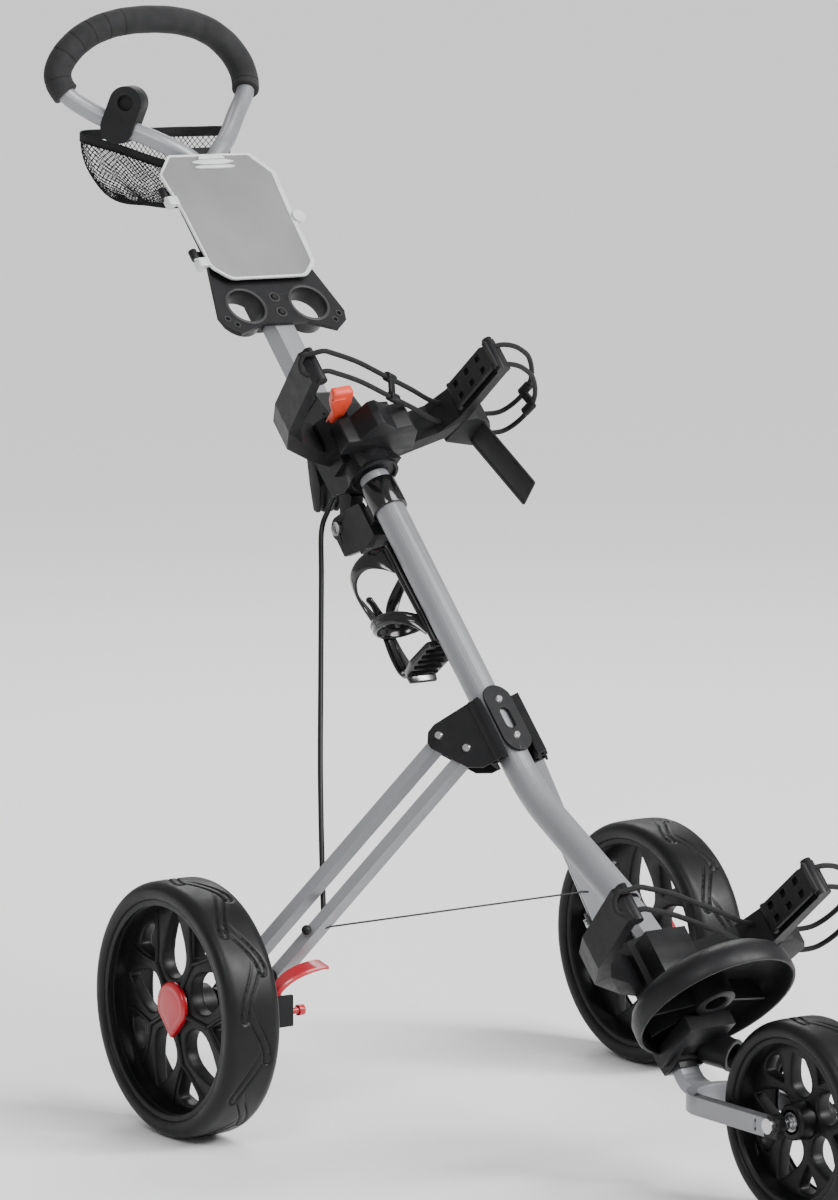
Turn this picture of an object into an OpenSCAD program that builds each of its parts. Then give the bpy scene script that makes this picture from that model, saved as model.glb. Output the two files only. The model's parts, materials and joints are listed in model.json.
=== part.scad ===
// Three-wheel golf push trolley, folding frame, standing on flat ground (mm, +Z up, +X forward).

/* [Wheels] */
// Diameter of the two rear wheels
rear_d = 280; // [260:2:300]
// Width of the rear tyres
rear_w = 66; // [60:1:70]
// Distance between the middles of the rear tyres
track = 632; // [620:2:650]
// Diameter of the front wheel
front_d = 208; // [200:2:212]
// Width of the front tyre
front_w = 61; // [58:1:62]
// Distance from the rear axle to the front axle
wheelbase = 670; // [666:1:676]
// Radial depth of the foam tyres
tyre_depth = 20; // [16:1:22]

/* [Frame] */
// Slope of the main tubes below horizontal, degrees
tube_slope = 46.5; // [46:0.1:47]
// Outer diameter of the lower tube
tube_d = 34; // [33:0.5:35]
// Wall thickness of the tubes
wall = 2; // [1.5:0.1:2.5]
// Width of the upper tube, across the cart
upper_w = 26; // [24:1:28]
// Depth of the upper tube
upper_t = 25; // [24:1:26]
// Outer diameter of the handle tube
handle_d = 21.7; // [20:0.1:22.2]
// Outer diameter of the foam grip
grip_d = 32.5; // [30:0.5:34]

/* [Side arms] */
// Tilt of the arm planes around the lower tube, degrees
arm_tilt = 52.4; // [51:0.1:54]
// Angle of the bars from the lower tube, degrees
arm_angle = 70.8; // [70:0.1:72]
// Distance between the two pivots of a bar
bar_len = 330; // [326:1:334]
// Width of a bar in the arm plane
bar_w = 12.4; // [11:0.1:13]
// Thickness of a bar across the arm plane
bar_t = 19.7; // [18:0.1:20]

/* [Console] */
// Diameter of the two golf ball holes
ball_hole_d = 46; // [44:0.5:48]
// Width of the scorecard flap
flap_w = 160; // [150:2:166]
// Length of the scorecard flap
flap_len = 187; // [180:1:190]

/* [Hidden] */

$fn = 48;
gap = 0.35;              // clearance between bodies that move past each other
fit = 0.05;              // radial clearance of a running fit
rear_r = rear_d / 2;
front_r = front_d / 2;
tube_r = tube_d / 2;
grip_r = grip_d / 2;

// Handle route, design frame: x from the rear axle, y to the left, z up; one side, bottom to top
handle_half = [[-448, 13, 1025], [-456, 27, 1036], [-472, 50, 1050], [-517, 90, 1073],
               [-536, 112, 1089], [-547, 125, 1101], [-557, 130, 1116], [-562, 127, 1132],
               [-563, 112, 1152], [-562.5, 88, 1170], [-562, 58, 1181], [-561, 28, 1186],
               [-561, 0, 1187]];
grip_first = 5;          // first route point inside the grip

// The origin sits midway between the front tyre and the back of the grip
front_x = wheelbase + front_r;
back_x = -563 - grip_r;
origin_x = (front_x + back_x) / 2;

// Point on the lower tube's axis where the side bracket sits: the zero of the tube frame
ref_x = 113.25;
ref_z = 462.2;

// Places along the tubes, mm from the bracket point, positive towards the ground
tube_top = -309;
tube_bend = 128.8;
bend_r = 250;
bend_a = 17.5;
tube_len2 = 190;
upper_n = -33;
upper_top = -782;
pivot_s = -297;
pivot_n = -76;

// Side arms: pivots in the arm plane, and the plane's height above the tube axis
pivot_up = [23.4, 56.8];
pivot_low = [53.8, 35.3];
arm_n = 21;
pin_r = 3.2;
plate_t = 2.5;
bar_dir = [cos(arm_angle), sin(arm_angle)];
end_up = pivot_up + bar_len * bar_dir;
end_low = pivot_low + bar_len * bar_dir;
plate_in = arm_n - bar_t / 2 - gap - plate_t;
plate_out = arm_n + bar_t / 2 + gap;

axle_r = 6;
bearing_r = 11;
hub_in = -27;            // inner and outer ends of the rear hubs, from the wheel's middle
hub_out = 16;
boss_end = track / 2 - 34.5;

// Cradles that hold the bag: places on the tube frame
cradle_up = [-365, -18];
cradle_low = [392, 46];

// ---- Vector helpers and the swept tube ----
function unit(v) = v / norm(v);
function tangent(p, i) =
    i == 0 ? unit(p[1] - p[0]) :
    i == len(p) - 1 ? unit(p[i] - p[i - 1]) : unit(p[i + 1] - p[i - 1]);
function side_of(t, v) = unit(v - t * (t * v));
// Side vectors carried along the route so that the tube doesn't twist
function sides(p, i = 0, v = undef) =
    let (t = tangent(p, i),
         start = abs(t[2]) < 0.9 ? [0, 0, 1] : [1, 0, 0],
         w = side_of(t, is_undef(v) ? start : v))
    i == len(p) - 1 ? [w] : concat([w], sides(p, i + 1, w));

module swept(route, r, count = 12) {
    v = sides(route);
    rings = len(route);
    points = [for (i = [0:rings - 1])
        let (t = tangent(route, i), b = cross(t, v[i]))
        for (j = [0:count - 1])
            route[i] + r * (cos(j * 360 / count) * v[i] + sin(j * 360 / count) * b)];
    walls = [for (i = [0:rings - 2]) for (j = [0:count - 1])
        [(i + 1) * count + j, (i + 1) * count + (j + 1) % count,
         i * count + (j + 1) % count, i * count + j]];
    ends = [[for (j = [0:count - 1]) j], [for (j = [count - 1:-1:0]) (rings - 1) * count + j]];
    polyhedron(points, concat(walls, ends), convexity = 6);
}

// The same sweep as a sleeve with a bore
module swept_sleeve(route, r_out, r_in, count = 12) {
    v = sides(route);
    rings = len(route);
    points = [for (r = [r_out, r_in]) for (i = [0:rings - 1])
        let (t = tangent(route, i), b = cross(t, v[i]))
        for (j = [0:count - 1])
            route[i] + r * (cos(j * 360 / count) * v[i] + sin(j * 360 / count) * b)];
    inner = rings * count;
    walls = [for (k = [0, 1]) for (i = [0:rings - 2]) for (j = [0:count - 1])
        let (a = k * inner + i * count, n = (j + 1) % count,
             quad = [a + j, a + n, a + count + n, a + count + j])
        k == 0 ? reversed(quad) : quad];
    ends = [for (i = [0, rings - 1]) for (j = [0:count - 1])
        let (a = i * count, n = (j + 1) % count,
             quad = [a + j, a + inner + j, a + inner + n, a + n])
        i == 0 ? reversed(quad) : quad];
    polyhedron(points, concat(walls, ends), convexity = 8);
}

// Catmull-Rom curve through chosen points, with steps points on each span
function spline_point(a, b, c, d, t) =
    0.5 * (2 * b + (c - a) * t + (2 * a - 5 * b + 4 * c - d) * t * t
           + (3 * b - a - 3 * c + d) * t * t * t);
function spline(p, steps = 3) = concat(
    [for (i = [0:len(p) - 2]) for (j = [0:steps - 1])
        spline_point(p[max(i - 1, 0)], p[i], p[i + 1], p[min(i + 2, len(p) - 1)], j / steps)],
    [p[len(p) - 1]]);
function flip_y(p) = [p[0], -p[1], p[2]];
function reversed(p) = [for (i = [len(p) - 1:-1:0]) p[i]];

// ---- Frames ----
// World frame: the design frame moved so that the origin is under the cart's middle
module world() translate([-origin_x, 0, 0]) children();
// Tube frame: x along the lower tube, y across the cart, z square to the tube, forward and up
module on_tube() world() translate([ref_x, 0, ref_z]) rotate([0, tube_slope, 0]) children();
module side(left) {
    if (left) children();
    else mirror([0, 1, 0]) children();
}
// Arm frame: x along the lower tube, y outward and down along the wings, z square to the plane
module on_arm(left) side(left) on_tube() rotate([-arm_tilt, 0, 0]) children();
// Wheel frames: the wheel's middle, axis along Y, +Y pointing outward
module at_rear(left) side(left) world() translate([0, track / 2, rear_r]) children();
module at_front() world() translate([wheelbase, 0, front_r]) children();
module along_y(y0, y1) translate([0, y0, 0]) rotate([-90, 0, 0]) linear_extrude(y1 - y0) children();
// Extrudes an outline drawn in the tube frame's x-z plane, from y0 to y1
module plate_y(y0, y1)
    translate([0, y1, 0]) rotate([90, 0, 0]) linear_extrude(y1 - y0) children();
// Extrudes an outline drawn in the tube frame's y-z plane, from x0 to x1
module plate_x(x0, x1)
    translate([x0, 0, 0]) rotate([90, 0, 90]) linear_extrude(x1 - x0) children();
module box(lo, hi) translate(lo) cube(hi - lo);
module slot_shape(p, q, r) {
    d = q - p;
    for (c = [p, q]) translate(c) circle(r);
    translate(p) rotate(atan2(d[1], d[0])) translate([0, -r]) square([norm(d), 2 * r]);
}

// ---- Main frame ----
// Straight, bend, straight; the bend lifts the tube towards the horizontal
bend_run = bend_r * tan(bend_a / 2);
tube_route = concat(
    [[tube_top, 0, 0]],
    [for (i = [0:6]) let (a = bend_a * i / 6)
        [tube_bend - bend_run + bend_r * sin(a), 0, bend_r * (1 - cos(a))]],
    [[tube_bend + tube_len2 * cos(bend_a), 0, tube_len2 * sin(bend_a)]]);

module lower_tube() {
    color("silver") on_tube() difference() {
        swept_sleeve(tube_route, tube_r, tube_r - wall, 32);
        for (s = saddle_screws_s) translate([s, 0, 0]) cylinder(r = 2.55, h = 30);
        for (s = cage_screws_s) translate([s, 0, -30]) cylinder(r = 2.55, h = 30);
    }
}

saddle_screws_s = [14, 62];
cage_screws_s = [-200, -140];

// Side view of the front stem, design frame: a bent rectangular tube with rounded bends
stem_w = 25;
stem_t = 15;
stem_line = spline([[332, 296.5], [368, 277], [392, 262], [424, 236], [443, 200], [451, 172],
                    [461, 134], [481, 106], [512, 100]], 4);
function normal2(p, i) = let (
    d = p[min(i + 1, len(p) - 1)] - p[max(i - 1, 0)]) [-d[1], d[0]] / norm(d);
module ribbon(line, t) polygon(concat(
    [for (i = [0:len(line) - 1]) line[i] + normal2(line, i) * t / 2],
    [for (i = [len(line) - 1:-1:0]) line[i] - normal2(line, i) * t / 2]));

fork_half = 48;
fork_bar = 12;
fork_h = 20;
fork_z = 100;
fork_back = 548;
fork_end = wheelbase - 12;
module fork_outline() difference() {
    union() {
        circle(r = fork_half, $fn = 90);
        translate([0, -fork_half]) square([fork_end - fork_back, 2 * fork_half]);
    }
    circle(r = fork_half - fork_bar, $fn = 90);
    translate([0, -fork_half + fork_bar])
        square([fork_end - fork_back + 1, 2 * (fork_half - fork_bar)]);
}
module fork_frame() {
    color("silver") world() difference() {
        union() {
            difference() {
                plate_y(-stem_w / 2, stem_w / 2) ribbon(stem_line, stem_t);
                plate_y(-stem_w / 2 + wall, stem_w / 2 - wall) ribbon(stem_line, stem_t - 2 * wall);
                // The hollow stops where the stem is welded to the fork
                translate([fork_back, 0, 0]) cylinder(r = fork_half - fork_bar, h = 300);
            }
            translate([fork_back, 0, fork_z - fork_h / 2]) linear_extrude(fork_h) fork_outline();
        }
        // Rivet holes near the ends of the arms
        for (dz = [-4.5, 4.5]) translate([fork_end - 14, 0, fork_z + dz]) rotate([90, 0, 0])
            cylinder(r = 1.6, h = 120, center = true, $fn = 24);
    }
}

front_axle_r = 5;
module fork_end_plugs() {
    color([0.1, 0.1, 0.1]) world() for (m = [0, 1]) mirror([0, m, 0]) difference() {
        union() {
            box([fork_end + 0.05, fork_half - fork_bar + 0.6, fork_z - fork_h / 2 + 0.6],
                [wheelbase + 8, fork_half - 0.6, fork_z + fork_h / 2 - 0.6]);
            translate([wheelbase, fork_half - fork_bar + 0.6, front_r]) rotate([-90, 0, 0])
                cylinder(r = 11, h = fork_bar - 1.2);
        }
        translate([wheelbase, 0, front_r]) rotate([-90, 0, 0]) cylinder(r = front_axle_r, h = 60);
    }
}
module front_axle() {
    color("gray") at_front() {
        along_y(-fork_half - 1, fork_half + 1) circle(front_axle_r);
        for (m = [0, 1]) mirror([0, m, 0]) {
            along_y(fork_half - 0.6, fork_half + 6) circle(8);
            along_y(29, fork_half - fork_bar + 0.6) circle(7);
        }
    }
}

// ---- Side bracket ----
saddle_n = 17.6;
saddle_t = 3;
module saddle_plate() {
    color([0.12, 0.12, 0.13]) on_tube() difference() {
        translate([0, 0, saddle_n]) linear_extrude(saddle_t) difference() {
            slot_shape([13, 0], [63, 0], 18);
            slot_shape([31, 0], [46, 0], 6);
        }
        for (s = saddle_screws_s) translate([s, 0, 0]) cylinder(r = 2.55, h = 40);
    }
}
module pan_screw(r, head_r, head_h, len) {
    cylinder(r = r, h = len);
    translate([0, 0, len]) cylinder(r1 = head_r, r2 = head_r * 0.7, h = head_h);
}
module frame_screws() {
    color("silver") on_tube() {
        for (s = saddle_screws_s)
            translate([s, 0, 8]) pan_screw(2.5, 4.6, 2.6, saddle_n + saddle_t - 8);
        for (s = cage_screws_s)
            translate([s, 0, -8]) rotate([180, 0, 0]) pan_screw(2.5, 4.6, 2.6, tube_r + 5 - 8);
    }
}

wing_s0 = 9;
wing_s1 = 85;
module wing_outline(w0) polygon([[wing_s0, w0], [wing_s0, 56], [13, 66], [23, 71.5], [31, 71],
                                 [74, 44], [84, 28], [wing_s1, w0]]);
module wing(left) {
    color([0.12, 0.12, 0.13]) on_arm(left) difference() {
        union() {
            // Outer and inner plates
            translate([0, 0, plate_out]) linear_extrude(plate_t) wing_outline(-1);
            translate([0, 0, plate_in]) linear_extrude(plate_t) wing_outline(17);
            // Web that joins the plates and hugs the tube, and the raised folds beside the saddle
            box([wing_s0, 17, plate_in], [wing_s1, 20, plate_out + plate_t]);
            box([wing_s0, -1, 25], [wing_s1, 4, plate_out + plate_t + 1.5]);
            box([wing_s0, 9, 21], [wing_s1, 12, plate_out + plate_t + 1.5]);
            box([wing_s0, 3, 24], [wing_s1, 18, 28]);
        }
        for (p = [pivot_up, pivot_low]) translate([p[0], p[1], 0]) cylinder(r = pin_r, h = 50);
        // Room for the saddle plate and its edge
        rotate([arm_tilt, 0, 0]) box([-20, -18.3, 0], [100, 18.3, 40]);
        rotate([0, 90, 0]) cylinder(r = tube_r + 0.1, h = 200, center = true);
    }
}
module wing_pins() {
    color("silver") for (left = [false, true]) on_arm(left) for (p = [pivot_up, pivot_low])
        translate([p[0], p[1], plate_in - 2]) {
            cylinder(r = pin_r, h = plate_out - plate_in + plate_t + 2);
            translate([0, 0, plate_out - plate_in + plate_t + 2]) cylinder(r1 = 5, r2 = 3.6, h = 2.6);
            translate([0, 0, -2]) cylinder(r = 5.4, h = 4);
        }
}

// ---- Hinge between the upper and lower frames ----
cheek_y = [8.7, 17];
module hinge_block() {
    color([0.1, 0.1, 0.1]) on_tube() difference() {
        union() {
            for (m = [0, 1]) mirror([0, m, 0]) plate_y(cheek_y[0], cheek_y[1]) {
                translate([pivot_s, pivot_n]) circle(14);
                polygon([[pivot_s - 13, pivot_n + 5], [pivot_s - 6, -46], [pivot_s + 4, -24],
                         [-248, -24], [-246, -46], [-266, -88], [pivot_s + 8, -87.5]]);
            }
            box([-286, -cheek_y[1], -60], [-248, cheek_y[1], -24]);
            // Saddle under the collar
            box([-284, -14, -25], [-262, 14, -8]);
        }
        translate([pivot_s, 0, pivot_n]) rotate([90, 0, 0]) cylinder(r = 5, h = 80, center = true);
        rotate([0, 90, 0]) cylinder(r = tube_r + 3.55, h = 800, center = true);
        // Swing of the hinge lug
        translate([pivot_s, 0, pivot_n]) rotate([90, 0, 0])
            cylinder(r = 27, h = 2 * cheek_y[0], center = true);
    }
}
module hinge_bolt() {
    color("gray") on_tube() translate([pivot_s, 0, pivot_n]) {
        along_y(-cheek_y[1], cheek_y[1]) circle(5);
        for (m = [0, 1]) mirror([0, m, 0]) along_y(cheek_y[1], cheek_y[1] + 4) circle(8);
    }
}
module tube_collar() {
    color([0.05, 0.05, 0.05]) on_tube() translate([-298, 0, 0]) rotate([0, 90, 0]) difference() {
        cylinder(r = tube_r + 3.5, h = 36);
        translate([0, 0, -1]) cylinder(r = tube_r + 0.05, h = 40);
    }
}

// ---- Bottle cage ----
cage_n = -62;
cage_r = 37.5;
cage_s = [-236, -92];
module cage_ring(s0, s1, a, t = 3.2)
    translate([s0, 0, cage_n]) rotate([0, 90, 0]) rotate([0, 0, (360 - a) / 2])
        rotate_extrude(angle = a, $fn = 90) translate([cage_r - t, 0]) square([t, s1 - s0]);
module bottle_cage() {
    color([0.06, 0.06, 0.06]) on_tube() difference() {
        union() {
            // Spine against the tube
            box([cage_s[0] + 14, -11, -27], [cage_s[1], 11, -17.3]);
            // Upper hoop, lower hoop and foot
            cage_ring(cage_s[0], cage_s[0] + 10, 360);
            cage_ring(-142, -131, 360);
            cage_ring(cage_s[1] - 12, cage_s[1], 360);
            translate([cage_s[1] - 4, 0, cage_n]) rotate([0, 90, 0]) difference() {
                cylinder(r = cage_r, h = 4);
                translate([0, 0, -1]) cylinder(r = 20, h = 6);
            }
            // Side straps
            for (a = [62, 118, 242, 298]) translate([0, 0, cage_n]) rotate([a, 0, 0])
                box([cage_s[0], -5, cage_r - 3.2], [cage_s[1], 5, cage_r - 0.2]);
        }
        for (s = cage_screws_s) translate([s, 0, -40]) cylinder(r = 2.55, h = 30);
        for (s = cage_screws_s) translate([s, 0, -60]) cylinder(r = 4.8, h = 60 - tube_r - 5);
    }
}

// ---- Cradles that hold the bag ----
// One cradle arm as an outline in the y-z plane, on the left; z = 0 is the tube's front face
cradle_arm = [[24, 8], [92, 44], [108, 72], [121, 158], [127, 160], [133, 154], [121, 66],
              [108, 34], [60, 6], [24, -8]];
module cradle(pads) {
    for (m = [0, 1]) mirror([0, m, 0]) {
        plate_x(-20, 20) polygon(cradle_arm);
        // Hook at the tip that the cords loop over
        translate([0, 121, 156]) rotate([0, 90, 0]) cylinder(r = 6, h = 44, center = true);
    }
    plate_x(-32, 34) polygon([[-32, -6], [-32, 20], [-12, 32], [12, 32], [32, 20], [32, -6]]);
    if (pads) for (m = [0, 1]) mirror([0, m, 0]) plate_x(-16, 26)
        polygon([[4, 26], [10, 62], [30, 62], [52, 30], [52, 18], [30, 14]]);
    else plate_x(-26, 34) polygon([[-26, 20], [-26, 48], [26, 48], [26, 20]]);
}
module upper_cradle() {
    color([0.1, 0.1, 0.11]) difference() {
        on_tube() difference() {
            translate([cradle_up[0], 0, cradle_up[1]]) cradle(true);
            box([-500, -upper_w / 2 - 0.4, -60],
                [-300, upper_w / 2 + 0.4, upper_n + upper_t / 2 + 0.3]);
            body_core(0.1);
            // Window for the latch button
            box([-394, -45, cradle_up[1] - 10], [-374, -27, 60]);
        }
        cord_room(cradle_up);
    }
}
module lower_cradle() {
    color([0.1, 0.1, 0.11]) difference() {
        on_tube() translate([cradle_low[0], 0, cradle_low[1]]) cradle(false);
        stem_room();
        cord_room(cradle_low);
    }
}
// The space that the front stem takes, with a little to spare
module stem_room() world()
    plate_y(-stem_w / 2 - 0.1, stem_w / 2 + 0.1) ribbon(stem_line, stem_t + 0.2);

rest_s = 462;
rest_n = 112;
rest_r = 90;
module bag_rest() {
    color([0.08, 0.08, 0.08]) difference() {
        union() {
            on_tube() {
                translate([rest_s, 0, rest_n]) rotate([0, 90, 0]) difference() {
                    cylinder(r = rest_r, h = 12, $fn = 90);
                    translate([0, 0, -1]) cylinder(r = rest_r - 6, h = 9, $fn = 90);
                }
                // Neck and sleeve around the stem
                box([440, -19, 8], [492, 19, 40]);
                box([rest_s + 8, -30, 20], [rest_s + 26, 30, 92]);
            }
            world() plate_y(-stem_w / 2 - 4, stem_w / 2 + 4)
                ribbon([for (i = [20:26]) stem_line[i]], stem_t + 8);
        }
        stem_room();
    }
}

// Rubber strap buckle with its rectangular holes, in the far arm's plane
module buckle() {
    difference() {
        translate([-15, -5, 0]) cube([30, 10, 74]);
        for (x = [-7.5, 7.5]) for (z = [14, 34, 54]) translate([x - 3.5, -6, z]) cube([7, 12, 8]);
    }
    // Block that the cord ends sit in
    translate([-19, -6, -46]) cube([38, 40, 26]);
    translate([-12, -2, -22]) cube([24, 8, 24]);
}
module place_buckle(c) on_tube() translate([c[0], 135, c[1] + 82]) rotate([-14, 0, 0]) children();
module buckle_on(c) color([0.15, 0.15, 0.16]) difference() {
    place_buckle(c) buckle();
    cord_room(c);
}
module upper_buckle() buckle_on(cradle_up);
module lower_buckle() buckle_on(cradle_low);

// Cord routes in the tube frame, from the near hook across to the far block and round
cord_d = 5;
cross_cord = [[0, -128, 160], [0, -112, 165], [0, -96, 160], [0, -55, 142], [0, -5, 114],
              [0, 45, 86], [0, 85, 62], [0, 118, 50], [0, 142, 46]];
loop_cord = [[0, 141, 152], [0, 160, 150], [0, 186, 130], [0, 206, 100], [0, 214, 72],
             [0, 210, 48], [0, 198, 32], [0, 178, 30]];
module cord_paths(c, r) on_tube() translate([c[0], 0, c[1]])
    for (x = [-10, 10]) translate([x, 0, x < 0 ? 4 : -6]) {
        swept(spline(cross_cord, 2), r, 8);
        swept(spline(loop_cord, 2), r, 8);
    }
module cords(c) color([0.07, 0.07, 0.07]) cord_paths(c, cord_d / 2);
// Tunnels for the cords through the parts that hold them
module cord_room(c) cord_paths(c, cord_d / 2 + 0.15);
module upper_bungee() cords(cradle_up);
module lower_bungee() cords(cradle_low);
module bungee_joiners() {
    color([0.1, 0.1, 0.1]) difference() {
        on_tube() for (p = [[5, 109], [212, 72]])
            translate([cradle_up[0], p[0], cradle_up[1] + p[1]]) box([-15, -6, -11], [15, 6, 9]);
        cord_room(cradle_up);
    }
}
module upper_strap() {
    color([0.08, 0.08, 0.08]) on_tube() translate([-326, 150, 8]) rotate([0, -8, 8])
        box([0, -1.2, 0], [88, 1.2, 36]);
}

// ---- Upper frame ----
module upper_tube() {
    color("silver") on_tube() translate([0, 0, upper_n]) difference() {
        box([upper_top, -upper_w / 2, -upper_t / 2], [-345, upper_w / 2, upper_t / 2]);
        box([upper_top - 1, -upper_w / 2 + wall, -upper_t / 2 + wall],
            [-344, upper_w / 2 - wall, upper_t / 2 - wall]);
    }
}
// Side outline of the upper hinge body, in the tube frame's x-z plane
body_side = [[-442, -50], [-442, -12], [-430, 2], [-350, 20], [-326, 22], [-312, 30],
             [-312, -30], [-326, -52], [-400, -54]];
module body_core(extra) plate_y(-24 - extra, 24 + extra) polygon(body_side);
module bracket_body() {
    color([0.1, 0.1, 0.1]) on_tube() difference() {
        union() {
            body_core(0);
            // Round flange that caps the lower tube
            translate([-326, 0, 0]) rotate([0, 90, 0]) cylinder(r = 28, h = 14);
            // Hinge lug, with the bore for the hinge bolt
            plate_y(-cheek_y[0] + gap, cheek_y[0] - gap) {
                translate([pivot_s, pivot_n]) circle(12.5);
                polygon([[-340, -50], [pivot_s - 12, pivot_n], [pivot_s, pivot_n + 12.4],
                         [-314, -40]]);
            }
        }
        box([-460, -upper_w / 2 - 0.05, upper_n - upper_t / 2 - 0.05],
            [-344.9, upper_w / 2 + 0.05, upper_n + upper_t / 2 + 0.05]);
        translate([pivot_s, 0, pivot_n]) rotate([90, 0, 0])
            cylinder(r = 5 + fit, h = 80, center = true);
        // Shallow socket for the end of the lower tube
        translate([-314, 0, 0]) rotate([0, 90, 0]) cylinder(r = tube_r + 1.2, h = 20);
        // Room for the lever's pin boss and for the latch button
        translate([lever_s, 0, lever_n]) rotate([90, 0, 0])
            cylinder(r = 9.5, h = 2 * lever_half + 1, center = true);
        box([-395, -46, -14], [-373, -20, 60]);
    }
    color("gray") on_tube() translate([lever_s, 0, lever_n]) rotate([90, 0, 0])
        cylinder(r = 3, h = 47.8, center = true);
}

// Ribbed cam lever on the back of the hinge body
lever_s = -404;
lever_n = -54;
lever_half = 15;
module cam_lever() {
    color([0.1, 0.1, 0.1]) on_tube() difference() {
        union() {
            translate([lever_s, 0, lever_n]) rotate([90, 0, 0])
                cylinder(r = 8.5, h = 2 * lever_half, center = true);
            plate_y(-lever_half, lever_half) polygon([[lever_s - 4, lever_n - 7.5],
                [lever_s + 6, lever_n - 5.5], [-352, -74], [-338, -92], [-344, -99], [-372, -84]]);
            // Finger ribs
            for (i = [0:4]) translate([-376 + 7 * i, 0, -81 - 3.4 * i]) rotate([90, 0, 0])
                cylinder(r = 4, h = 2 * lever_half - 4, center = true, $fn = 24);
        }
        translate([lever_s, 0, lever_n]) rotate([90, 0, 0])
            cylinder(r = 3 + fit, h = 80, center = true);
    }
}

// Red latch button that slides into the cradle
module latch_button() {
    color([0.95, 0.2, 0.12]) on_tube() {
        box([-392, -42, -6], [-376, -30, 52]);
        box([-398, -46, 50], [-370, -26, 77]);
    }
}

// ---- Console ----
ball_s = -573.6;
console_n = -15;
console_outline = [[-792, -44], [-770, -60], [-700, -62], [-640, -66], [-560, -86], [-546, -82],
                   [-534, -66], [-547, -30], [-547, 30], [-534, 66], [-546, 82], [-560, 86],
                   [-640, 66], [-700, 62], [-770, 60], [-792, 44]];
module console() {
    color([0.12, 0.12, 0.13]) difference() {
        console_shell();
        handle_room();
    }
}
module console_shell() on_tube() difference() {
    union() {
        translate([0, 0, console_n - 5]) linear_extrude(5) polygon(console_outline);
        for (m = [0, 1]) mirror([0, m, 0]) {
            // Deep ring around a ball hole
            translate([ball_s, 43, console_n - 24]) cylinder(r = ball_hole_d / 2 + 3, h = 24);
            // Edge rib
            plate_y(56, 59) polygon([[-770, -20], [-640, -20], [-648, -27], [-765, -27]]);
        }
        // Socket for the upper tube and for the two handle tube ends
        box([-812, -24, -50], [-690, 24, -16]);
        box([-640, -19, -49], [-560, 19, -16]);
        // Hinge lugs of the flap
        for (s = [-748, -656]) {
            box([s, flap_pin_y, -20], [s + 12, -58, -15]);
            translate([s, flap_pin_y, flap_pin_n]) rotate([0, 90, 0]) cylinder(r = 4.9, h = 12);
        }
    }
    for (m = [0, 1]) mirror([0, m, 0]) {
        translate([ball_s, 43, -60]) cylinder(r = ball_hole_d / 2, h = 80);
        // Tee holes in the lower corners
        for (i = [0, 1]) translate([-556 + 9 * i, 76 - 9 * i, -40]) cylinder(r = 2.6, h = 40);
    }
    box([-900, -upper_w / 2 - 0.05, upper_n - upper_t / 2 - 0.05],
        [-400, upper_w / 2 + 0.05, upper_n + upper_t / 2 + 0.05]);
    for (s = console_screws_s) translate([s, 0, -60]) cylinder(r = 2.6, h = 60);
    // Bores for the flap's hinge pins
    translate([-800, flap_pin_y, flap_pin_n]) rotate([0, 90, 0])
        cylinder(r = flap_pin_r, h = 200);
}
console_screws_s = [-584, -562];
module console_screws() {
    color("gray") on_tube() for (s = console_screws_s)
        translate([s, 0, -19]) pan_screw(2.5, 4.4, 2.2, 19 + console_n);
}

flap_pin_y = -80;
flap_pin_r = 2.5;
flap_pin_n = -14;
flap_n = [-8.5, -5.5];
flap_outline = [[-793, -56], [-764, -80], [-706, -73], [-622, -72], [-606, -58],
                [-606, 58], [-622, 72], [-706, 76], [-764, 80], [-793, 56]];
module card_flap() {
    color([0.85, 0.87, 0.88, 0.6]) on_tube() {
        translate([0, 0, flap_n[0]]) linear_extrude(flap_n[1] - flap_n[0]) polygon(flap_outline);
        // Finger ribs at the top, and the knob on the free edge
        for (i = [0:2]) box([-788 + 6 * i, -22 - (i % 2) * 4, flap_n[1] - 0.5],
                            [-785 + 6 * i, 22 + (i % 2) * 4, flap_n[1] + 2]);
        translate([-693, 80, flap_n[0]]) cylinder(r = 9, h = 7);
        // Hinge knuckles and their pins
        for (s = [-732, -640]) {
            box([s, flap_pin_y - 4, -18], [s + 12, flap_pin_y + 8, flap_n[1]]);
            translate([s - 14, flap_pin_y, flap_pin_n]) rotate([0, 90, 0])
                cylinder(r = flap_pin_r - fit, h = 20);
        }
    }
}

// ---- Handle ----
handle_route = concat(spline(handle_half, 3),
                      [for (i = [len(handle_half) * 3 - 4:-1:0]) flip_y(spline(handle_half, 3)[i])]);
grip_count = len(handle_route) - 2 * grip_first * 3;
grip_route = [for (i = [0:grip_count - 1]) handle_route[grip_first * 3 + i]];
module handle_room() world() for (m = [0, 1]) mirror([0, m, 0])
    swept([for (i = [0:6]) handle_route[i]], handle_d / 2 + 0.6, 12);
module handle_loop() color("silver") world() swept(handle_route, handle_d / 2, 12);
module grip() color([0.2, 0.2, 0.2]) world() swept_sleeve(grip_route, grip_r, handle_d / 2 + 0.45, 12);

// Clamp with an oval head on the right-hand tube of the handle
module gadget_holder() {
    color([0.08, 0.08, 0.08]) world() translate([-503, -78, 1066.5]) rotate([0, 21, 41.6])
        difference() {
        plate_y(-16, 15) slot_shape([0, -2], [0, 28], 19.5);
        translate([0, -8, 28]) rotate([90, 0, 0]) cylinder(r = 9.5, h = 20);
        rotate([0, 90, 0]) cylinder(r = handle_d / 2 + 1, h = 100, center = true);
    }
}

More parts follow.
